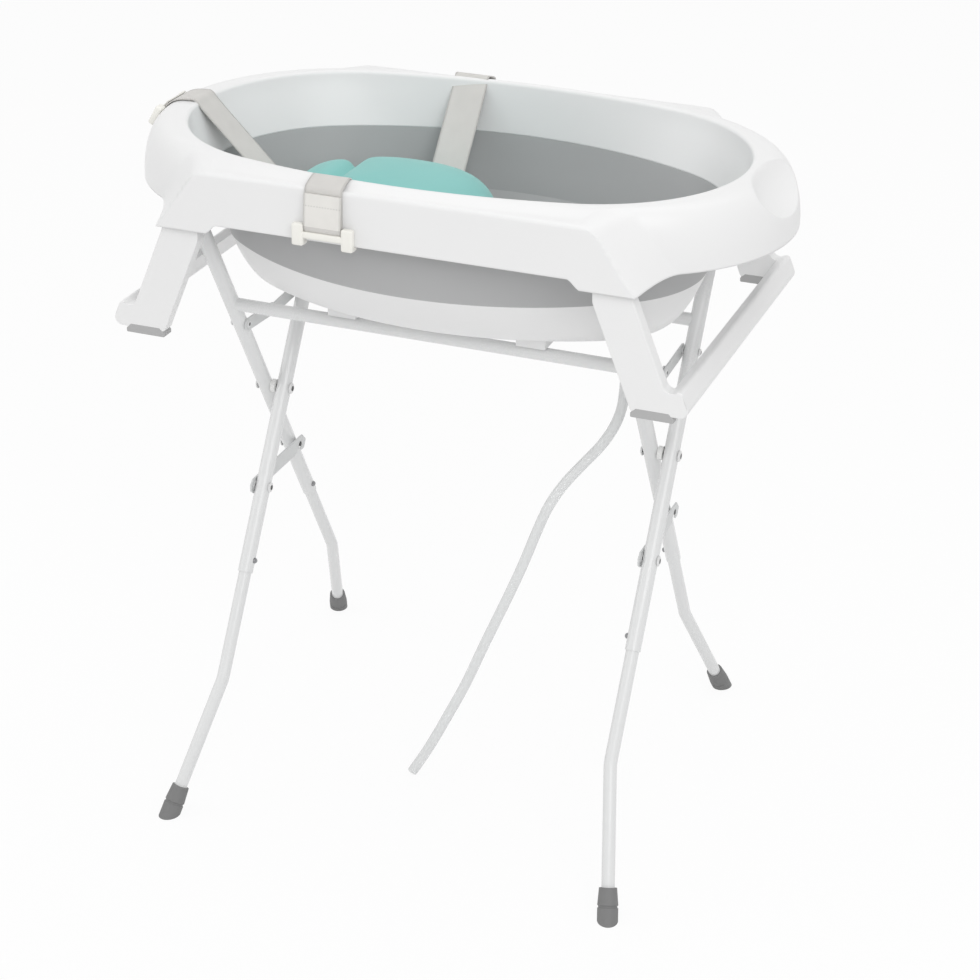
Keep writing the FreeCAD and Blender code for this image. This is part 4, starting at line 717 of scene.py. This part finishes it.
def strap(name, node, points, place):
    """A strap on its line, placed by a function of across, out and rise."""
    across, out, rise, uv, length = strap_grid(points)
    made = surface(name, place(across, out, rise), uv=uv)
    thicken(made, STRAP_THICKNESS, 0)
    wear(made, node)
    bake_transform(made)
    print(name, "is", round(length, 3), "m long")
    return made


front_strap = strap("front_webbing", "front_strap", SIDE_LINE,
                    lambda across, out, rise: np.stack((STRAP_PLACE + across, -out, rise), axis=-1))
back_strap = strap("back_webbing", "back_strap", SIDE_LINE,
                   lambda across, out, rise: np.stack((STRAP_PLACE - across, out, rise), axis=-1))
head_strap = strap("head_webbing", "head_strap", HEAD_LINE,
                   lambda across, out, rise: np.stack((-out, -across, rise), axis=-1))

# %% [markdown]
# The cushion is a mint pad with two lobes, a wide one for the body and a smaller one for the head, blown
# up tight like a water pillow. The lobes are computed as soft boxes, fused by a voxel remesh and then
# inflated with the cloth solver, which gives the skin its tension. The remesh rounds off the valley
# between the lobes, so a crease is drawn in there afterwards.

# %% Cushion
FLOOR_OF_BASIN = 645.3 * MM
BODY_LOBE = ((-80, 0), (115, 120), 140)
HEAD_LOBE = ((-176, 0), (56, 88), 132)
PLAN_POWER, SIDE_POWER, CROWN_POWER = 0.8, 0.62, 0.85
CUSHION_VOXEL = 5 * MM
CUSHION_START = 4 * MM
CUSHION_CAP = 7 * MM
CUSHION_PRESSURE, CUSHION_FRAMES = 4.0, 20
EVEN_SHARE, EVEN_ROUNDS = 0.5, 4
CREASE_DEPTH, CREASE_WIDTH = 9 * MM, 0.09
TINY = 1e-9


def lobe_grid(lobe, rows=40, columns=80):
    """A soft box: an ellipsoid whose cosines and sines are raised to powers under 1, which fills it out.

    In plan it is a superellipse |x|^n + |y|^n, where n is 2 over the plan's power.
    """
    (x0, y0), (half_x, half_y), tall = lobe
    latitude = np.linspace(-np.pi / 2, np.pi / 2, rows)[:, None]
    turn = np.linspace(0, 2 * np.pi, columns, endpoint=False)

    def power(value, exponent):
        return np.sign(value) * np.abs(value) ** exponent

    wide = power(np.cos(latitude), SIDE_POWER)
    x = x0 * MM + (half_x * MM - CUSHION_START) * wide * power(np.cos(turn), PLAN_POWER)
    y = y0 * MM + (half_y * MM - CUSHION_START) * wide * power(np.sin(turn), PLAN_POWER)
    half = tall * MM / 2 - CUSHION_START
    z = FLOOR_OF_BASIN + tall * MM / 2 + half * power(np.sin(latitude), CROWN_POWER) + 0 * x
    return np.stack((x, y, z), axis=-1)


def applied(piece):
    """The piece's mesh with all its modifiers worked in."""
    shaped = bpy.data.meshes.new_from_object(piece.evaluated_get(bpy.context.evaluated_depsgraph_get()))
    piece.modifiers.clear()
    piece.data = shaped
    return piece


def points_of(mesh):
    """Every vertex of a mesh as one array."""
    flat = np.empty(len(mesh.vertices) * 3)
    mesh.vertices.foreach_get("co", flat)
    return flat.reshape(-1, 3)


def put_on_floor(piece, points):
    """Gives the mesh these points, none of them lower than the basin's floor."""
    points[:, 2] = np.maximum(points[:, 2], FLOOR_OF_BASIN)
    piece.data.vertices.foreach_set("co", points.ravel())
    piece.data.update()


def inflate(piece, pressure, cap):
    """Cloth pressure on the skin for some frames, then no point further than the cap from its start."""
    start = points_of(piece.data)
    cloth = piece.modifiers.new("inflate", "CLOTH")
    cloth.settings.use_pressure = True
    cloth.settings.uniform_pressure_force = pressure
    cloth.settings.effector_weights.gravity = 0
    cloth.point_cache.frame_start, cloth.point_cache.frame_end = 1, CUSHION_FRAMES
    for number in range(1, CUSHION_FRAMES + 1):
        scene.frame_set(number)
    applied(piece)
    scene.frame_set(1)
    moved = points_of(piece.data) - start
    far = np.maximum(np.linalg.norm(moved, axis=1, keepdims=True), TINY)
    put_on_floor(piece, start + moved * np.minimum(1, cap / far))
    print("cushion swelled by up to", round(float(min(far.max(), cap)) / MM, 1), "mm")


def crease(piece, depth, width):
    """Draws the skin in where both lobes are equally near, r₁ = r₂ in shares of their half sizes."""
    place, normal = points_of(piece.data), np.empty(len(piece.data.vertices) * 3)
    piece.data.vertices.foreach_get("normal", normal)
    shares = []
    for (x0, y0), (half_x, half_y), tall in (BODY_LOBE, HEAD_LOBE):
        middle = np.array((x0 * MM, y0 * MM, FLOOR_OF_BASIN + tall * MM / 2))
        shares.append(np.linalg.norm((place - middle) / (np.array((half_x, half_y, tall / 2)) * MM), axis=1))
    drawn = depth * np.exp(-(((shares[0] - shares[1]) / width) ** 2))
    put_on_floor(piece, place - drawn[:, None] * normal.reshape(-1, 3))


lobes = [lobe_grid(lobe) for lobe in (BODY_LOBE, HEAD_LOBE)]
cushion = surface("bath_pillow", *lobes, ring_columns=True, caps=True)
remesh = cushion.modifiers.new("fuse", "REMESH")
remesh.mode = "VOXEL"
remesh.voxel_size = CUSHION_VOXEL
applied(cushion)
inflate(cushion, CUSHION_PRESSURE, CUSHION_CAP)
smoother = cushion.modifiers.new("even", "SMOOTH")
smoother.factor, smoother.iterations = EVEN_SHARE, EVEN_ROUNDS
fine = cushion.modifiers.new("fine", "SUBSURF")
fine.levels = fine.render_levels = 1
applied(cushion)
crease(cushion, CREASE_DEPTH, CREASE_WIDTH)
cushion.data.shade_smooth()
wear(cushion, "bath_cushion", "base")

# %% [markdown]
# Finishes are built from nodes, and node trees are easier to read as sums. The class below wraps one
# socket: adding, multiplying or comparing wrapped sockets puts the matching Math nodes into the tree, and
# its node method adds any other node with its settings first and its inputs after. Every pattern is
# procedural, on Object coordinates or on a piece's own UV map, so nothing is stretched and no picture is
# loaded.

# %% Shader sums
class Socket:
    """One output of a node. Operators on it add Math nodes to the same tree."""

    def __init__(self, tree, plug=None):
        self.tree, self.plug = tree, plug

    def node(self, kind, settings=None, inputs=None, output=0):
        """Any node: its settings are set first, then each input gets a value or a link."""
        made = self.tree.nodes.new(kind)
        for key, value in (settings or {}).items():
            setattr(made, key, value)
        for key, value in (inputs or {}).items():
            if isinstance(value, Socket):
                self.tree.links.new(value.plug, made.inputs[key])
            else:
                made.inputs[key].default_value = value
        return Socket(self.tree, made.outputs[output])

    def math(self, operation, first, second=0.0):
        return self.node("ShaderNodeMath", {"operation": operation}, {0: first, 1: second})

    def __add__(self, other):
        return self.math("ADD", self, other)

    def __sub__(self, other):
        return self.math("SUBTRACT", self, other)

    def __rsub__(self, other):
        return self.math("SUBTRACT", other, self)

    def __mul__(self, other):
        return self.math("MULTIPLY", self, other)

    def __gt__(self, other):
        return self.math("GREATER_THAN", self, other)

    def __lt__(self, other):
        return self.math("LESS_THAN", self, other)

    __radd__ = __add__
    __rmul__ = __mul__

    def sine(self):
        return self.math("SINE", self)

    def size(self):
        return self.math("ABSOLUTE", self)

    def root(self):
        return self.math("SQRT", self)

    def parts(self):
        """The three numbers of a vector."""
        split = self.node("ShaderNodeSeparateXYZ", inputs={0: self}).plug.node
        return [Socket(self.tree, plug) for plug in split.outputs]

    def noise(self, scale, detail=2.0):
        """Soft noise from 0 to 1 on a vector."""
        inputs = {"Vector": self, "Scale": scale, "Detail": detail}
        return self.node("ShaderNodeTexNoise", inputs=inputs, output="Fac")

    def mix(self, first, second):
        """One colour where this is 0, another where it is 1. A colour is three numbers or a socket."""
        ends = [end if isinstance(end, Socket) else (*end, 1) for end in (first, second)]
        inputs = {0: self, 6: ends[0], 7: ends[1]}
        return self.node("ShaderNodeMix", {"data_type": "RGBA"}, inputs, output=2)

    def bump(self, strength, distance):
        """A normal from this height."""
        inputs = {"Height": self, "Strength": strength, "Distance": distance}
        return self.node("ShaderNodeBump", inputs=inputs, output="Normal")


class Finish:
    """A material with one Principled shader.

    place is Object coordinates, uv is the piece's own map, and feed links sockets to the shader.
    """

    def __init__(self, name, colour, roughness, constants=None):
        self.material = bpy.data.materials.new(name)
        self.material.use_nodes = True
        tree = self.material.node_tree
        self.shader = tree.nodes["Principled BSDF"]
        settings = {"Base Color": (*colour, 1), "Roughness": roughness, **(constants or {})}
        for socket, value in settings.items():
            self.shader.inputs[socket].default_value = value
        self.place = Socket(tree).node("ShaderNodeTexCoord", output="Object")
        self.uv = Socket(tree).node("ShaderNodeTexCoord", output="UV")

    def feed(self, **sockets):
        for name, socket in sockets.items():
            socket.tree.links.new(socket.plug, self.shader.inputs[name.replace("_", " ")])
        return self.material


def shades(colour, share):
    """A colour a little darker and a little lighter."""
    return [tuple(value * (1 + sign * share) for value in colour) for sign in (-1, 1)]


# %% [markdown]
# The hard plastic is white, half glossy, with a grain too fine to see but enough to break the highlights.
# The rubber of the wall and the feet is matt. The tubes are powder coated: glossier, with the slight
# orange peel of baked paint. One function makes all of these, because only the numbers differ: a colour,
# a roughness, how fine the grain is and how deep it is in metres.

# %% Moulded and painted finishes
TONE_SCALE, TONE_SHARE = 9.0, 0.012
TONE_GLOSS, GRAIN_GLOSS, GRAIN_STRENGTH = 0.08, 0.06, 0.12
WHITE = (0.84, 0.84, 0.84)
WALL_GREY = (0.44, 0.443, 0.446)
SATIN = {"Specular IOR Level": 0.4}


def moulded(name, colour, roughness, grain, depth, constants=None):
    """Plain colour with slow tone changes, a roughness that follows them, and a fine grain in the normal."""
    made = Finish(name, colour, roughness, constants)
    slow = made.place.noise(TONE_SCALE)
    fine = made.place.noise(grain)
    return made.feed(
        Base_Color=slow.mix(*shades(colour, TONE_SHARE)),
        Roughness=roughness + TONE_GLOSS * (slow - 0.5) + GRAIN_GLOSS * (fine - 0.5),
        Normal=fine.bump(GRAIN_STRENGTH, depth),
    )


finishes = {
    "rim_plastic": moulded("rim_white", WHITE, 0.34, 1400, 0.0002, SATIN),
    "base_plastic": moulded("basin_white", WHITE, 0.36, 1400, 0.0002, SATIN),
    "leg_plastic": moulded("leg_white", WHITE, 0.36, 1300, 0.0002, SATIN),
    "wall_rubber": moulded("wall_grey", WALL_GREY, 0.55, 900, 0.0003),
    "tube_paint": moulded("tube_powder_coat", (0.77, 0.775, 0.775), 0.26, 700, 0.0003,
                          {"Coat Weight": 0.3}),
    "link_paint": moulded("link_powder_coat", (0.66, 0.67, 0.67), 0.34, 700, 0.0003),
    "spacer_plastic": moulded("spacer_nylon", (0.82, 0.82, 0.81), 0.4, 900, 0.0002),
    "button_steel": moulded("button_steel", (0.30, 0.30, 0.31), 0.3, 1200, 0.0001, {"Metallic": 1.0}),
    "foot_rubber": moulded("foot_grey", (0.20, 0.20, 0.20), 0.6, 600, 0.0005),
    "pad_rubber": moulded("pad_grey", (0.44, 0.44, 0.44), 0.6, 700, 0.0004),
    "drain_plastic": moulded("drain_white", WHITE, 0.38, 1200, 0.0002),
    "clip_plastic": moulded("clip_cream", (0.88, 0.87, 0.82), 0.38, 1200, 0.0002),
    "hose_plastic": moulded("hose_clear", (0.88, 0.89, 0.89), 0.26, 800, 0.0002,
                            {"Transmission Weight": 0.2, "IOR": 1.42}),
}
print("moulded finishes:", ", ".join(sorted(finishes)))

# %% [markdown]
# A rivet shows a white washer with a black centre. All the rivets lie along X, so the distance from their
# own axis tells washer from centre. The axis of each node is the middle of its box.

# %% Rivets
RIVET_WHITE, RIVET_BLACK = (0.78, 0.78, 0.78), (0.015, 0.015, 0.015)
RIVET_ROUGHNESS, RIVET_CENTRE_SHARE = 0.35, 0.5


def rivet_finish(node):
    """White outside, black within a share of the head's radius from the axis."""
    low, high = (np.array(corner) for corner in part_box(node))
    _, y0, z0 = (low + high) / 2
    radius = (high[2] - low[2]) / 2
    made = Finish(node + "_paint", RIVET_WHITE, RIVET_ROUGHNESS)
    _, y, z = made.place.parts()
    away = ((y - y0) * (y - y0) + (z - z0) * (z - z0)).root()
    return made.feed(Base_Color=(away < RIVET_CENTRE_SHARE * radius).mix(RIVET_WHITE, RIVET_BLACK))


# %% [markdown]
# Cloth needs its weave. The cushion's knit is a fine three way ripple on Object coordinates with a soft
# sheen. The straps are ribbed webbing on their own UV map, whose units are metres: ribs across, threads
# along, a firm edge on both sides and a line of stitches where the folded end is sewn down. That folded
# end is painted paler, as painted light on the same webbing.

# %% Cloth finishes
MINT = (0.25, 0.57, 0.54)
WEBBING = (0.68, 0.665, 0.64)
# The same webbing painted paler, as painted light on the folded loop.
LIT_LOOP_WEBBING = (0.84, 0.825, 0.79)
KNIT_PITCH, RIB_PITCH, THREAD_PITCH, STITCH_PITCH = 2 * np.pi / np.array((0.0016, 0.0013, 0.0011, 0.0034))
KNIT_ROUGHNESS, KNIT_TONE_SCALE, KNIT_TONE_SHARE = 0.75, 14.0, 0.05
KNIT_SHEEN = {"Sheen Weight": 0.25, "Sheen Roughness": 0.4, "Specular IOR Level": 0.25}
KNIT_STRENGTH, KNIT_DEPTH = 0.25, 0.00015
STITCH_FROM_END, FOLD_FROM_END = 14 * MM, 38 * MM
EDGE_BAND, SEAM_HALF, STITCH_LEVEL = 2 * MM, 0.7 * MM, -0.3
WEBBING_ROUGHNESS, WEBBING_TONE_SCALE, THREAD_SHARE = 0.7, 40.0, 0.6
WEBBING_SHEEN = {"Sheen Weight": 0.15, "Specular IOR Level": 0.25}
SLOW_TONE, EDGE_TONE, SEAM_TONE = 0.5, 0.35, 0.6
PALE, DARK = 1.06, 0.80
EDGE_RISE, SEAM_SINK = 1.5, 3
WEAVE_STRENGTH, WEAVE_DEPTH = 0.5, 0.0002


def knit_finish():
    """Mint knit: the sum of three sines as bump, slow noise as tone."""
    made = Finish("mint_knit", MINT, KNIT_ROUGHNESS, KNIT_SHEEN)
    x, y, z = made.place.parts()
    ripple = (x * KNIT_PITCH).sine() + (y * KNIT_PITCH).sine() + (z * KNIT_PITCH).sine()
    slow = made.place.noise(KNIT_TONE_SCALE)
    colour = slow.mix(*shades(MINT, KNIT_TONE_SHARE))
    return made.feed(Base_Color=colour, Normal=ripple.bump(KNIT_STRENGTH, KNIT_DEPTH))


def webbing_finish(name, length):
    """Webbing: ribs plus threads as bump, darker firm edges, and a sewn end painted paler as if lit, with a
    dashed seam.
    """
    stitch_at, fold_at = length - STITCH_FROM_END, length - FOLD_FROM_END
    made = Finish(name, WEBBING, WEBBING_ROUGHNESS, WEBBING_SHEEN)
    across, along, _ = made.uv.parts()
    weave = (along * RIB_PITCH).sine() + THREAD_SHARE * (across * THREAD_PITCH).sine()
    edge = across.size() > (STRAP_WIDTH / 2 - EDGE_BAND)
    dash = (across * STITCH_PITCH).sine() > STITCH_LEVEL
    seam = ((along - stitch_at).size() < SEAM_HALF) * dash
    slow = made.place.noise(WEBBING_TONE_SCALE)
    tone = slow * SLOW_TONE + EDGE_TONE * edge + SEAM_TONE * seam
    # The folded end takes the paler copy of the same webbing, which is painted light.
    band, lit_loop = (tone.mix(*(tuple(shade * value for value in cloth) for shade in (PALE, DARK)))
                  for cloth in (WEBBING, LIT_LOOP_WEBBING))
    height = weave + EDGE_RISE * edge - SEAM_SINK * seam
    return made.feed(Base_Color=(along > fold_at).mix(band, lit_loop),
                     Normal=height.bump(WEAVE_STRENGTH, WEAVE_DEPTH))


def strap_length(piece):
    """The longest place along a strap, from its UV map."""
    return max(corner.uv[1] for corner in piece.data.uv_layers[0].data)


# %% [markdown]
# Now every piece gets its finish. New pieces are named one by one, and a node that keeps its own shape
# takes the finish of its slot in the record. The basin has two finishes: past its edge the faces are grey
# like the wall.

# %% Dress every piece
def dress(piece, *materials):
    """Replaces a piece's materials."""
    piece.data.materials.clear()
    for material in materials:
        piece.data.materials.append(material)


dress(hose, finishes["hose_plastic"])
for piece, slot in ((rim, "rim_plastic"), (hinge_cheeks, "rim_plastic"), (wall, "wall_rubber")):
    dress(piece, finishes[slot])
dress(basin, finishes["base_plastic"], finishes["wall_rubber"])
basin.data.polygons.foreach_set("material_index", inside_face.ravel())
for side in ("left", "right"):
    dress(bpy.data.objects[side + "_leg_frame"], finishes["leg_plastic"])
    dress(bpy.data.objects[side + "_leg_soles"], finishes["pad_rubber"])
for piece in (front_buckle, back_buckle, head_buckle):
    dress(piece, finishes["clip_plastic"])
for piece in (front_strap, back_strap, head_strap):
    dress(piece, webbing_finish(piece.name + "_cloth", strap_length(piece)))
dress(cushion, knit_finish())
kept = 0
for name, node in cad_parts.items():
    if node.hide_render:
        continue
    for holder in node.material_slots:
        slot = holder.material.name.split(".")[0]
        holder.material = rivet_finish(name) if slot == "rivet_steel" else finishes[slot]
    kept += 1
print("nodes that keep their own shape:", kept)

# %% [markdown]
# The set is a plain white floor under soft light: a broad key from the front right, a weaker fill from
# the left, a lamp overhead and an even sky. The camera sees the floor as nearly white, because most of
# what it sees there is a plain white emission, and the rest is the real floor, which keeps the shadow.

# %% Floor, sky and lamps
FLOOR_HALF = 14.0
FLOOR_SHOWN = 0.92
FLOOR_PAINT = {"Base Color": (0.9, 0.9, 0.9, 1), "Roughness": 0.9}
SKY_LIGHT = 0.64
LAMPS = (
    ("key", (1.6, -2.2, 2.6), (0, 0, 0.6), 2.2, 36),
    ("fill", (-2.4, -1.2, 1.8), (0, 0, 0.5), 2.0, 12),
    ("top", (0, 0.6, 3.2), (0, 0, 0.6), 2.5, 14),
)


def seen_directly(tree):
    """1 for what the camera sees, straight, mirrored or through clear plastic, and 0 for light on its way."""
    path = Socket(tree).node("ShaderNodeLightPath").plug.node.outputs
    others = (Socket(tree, path[name]) for name in ("Is Glossy Ray", "Is Transmission Ray"))
    return sum(others, Socket(tree, path["Is Camera Ray"]))


def floor_material():
    """Diffuse white for light, mixed with plain white for what the camera and reflections see."""
    material = bpy.data.materials.new("studio_floor")
    material.use_nodes = True
    tree = material.node_tree
    shader = tree.nodes["Principled BSDF"]
    for socket, value in FLOOR_PAINT.items():
        shader.inputs[socket].default_value = value
    start = Socket(tree)
    glow = start.node("ShaderNodeEmission", inputs={"Color": (1, 1, 1, 1), "Strength": 1.0})
    shown = FLOOR_SHOWN * seen_directly(tree)
    mixed = start.node("ShaderNodeMixShader", inputs={0: shown, 1: Socket(tree, shader.outputs[0]), 2: glow})
    tree.links.new(mixed.plug, tree.nodes["Material Output"].inputs["Surface"])
    return material


def lamp(name, place, aim, size, power):
    """A square area lamp that looks from a place to an aim."""
    light = bpy.data.lights.new(name, "AREA")
    light.size, light.energy = size, power
    made = bpy.data.objects.new(name, light)
    made.location = place
    made.rotation_euler = (Vector(aim) - Vector(place)).to_track_quat("-Z", "Y").to_euler()
    scene.collection.objects.link(made)


floor_edge = np.array((-FLOOR_HALF, FLOOR_HALF))
corner_x, corner_y = np.meshgrid(floor_edge, floor_edge)
floor = surface("studio_floor", np.stack((corner_x, corner_y, 0 * corner_x), axis=-1))
dress(floor, floor_material())

sky = bpy.data.worlds.new("studio_sky")
sky.use_nodes = True
sky_tree = sky.node_tree
strength = SKY_LIGHT + (1 - SKY_LIGHT) * seen_directly(sky_tree)
sky_tree.links.new(strength.plug, sky_tree.nodes["Background"].inputs["Strength"])
sky_tree.nodes["Background"].inputs["Color"].default_value = (1, 1, 1, 1)
scene.world = sky
for settings in LAMPS:
    lamp(*settings)
print("floor, sky and", len(LAMPS), "lamps")
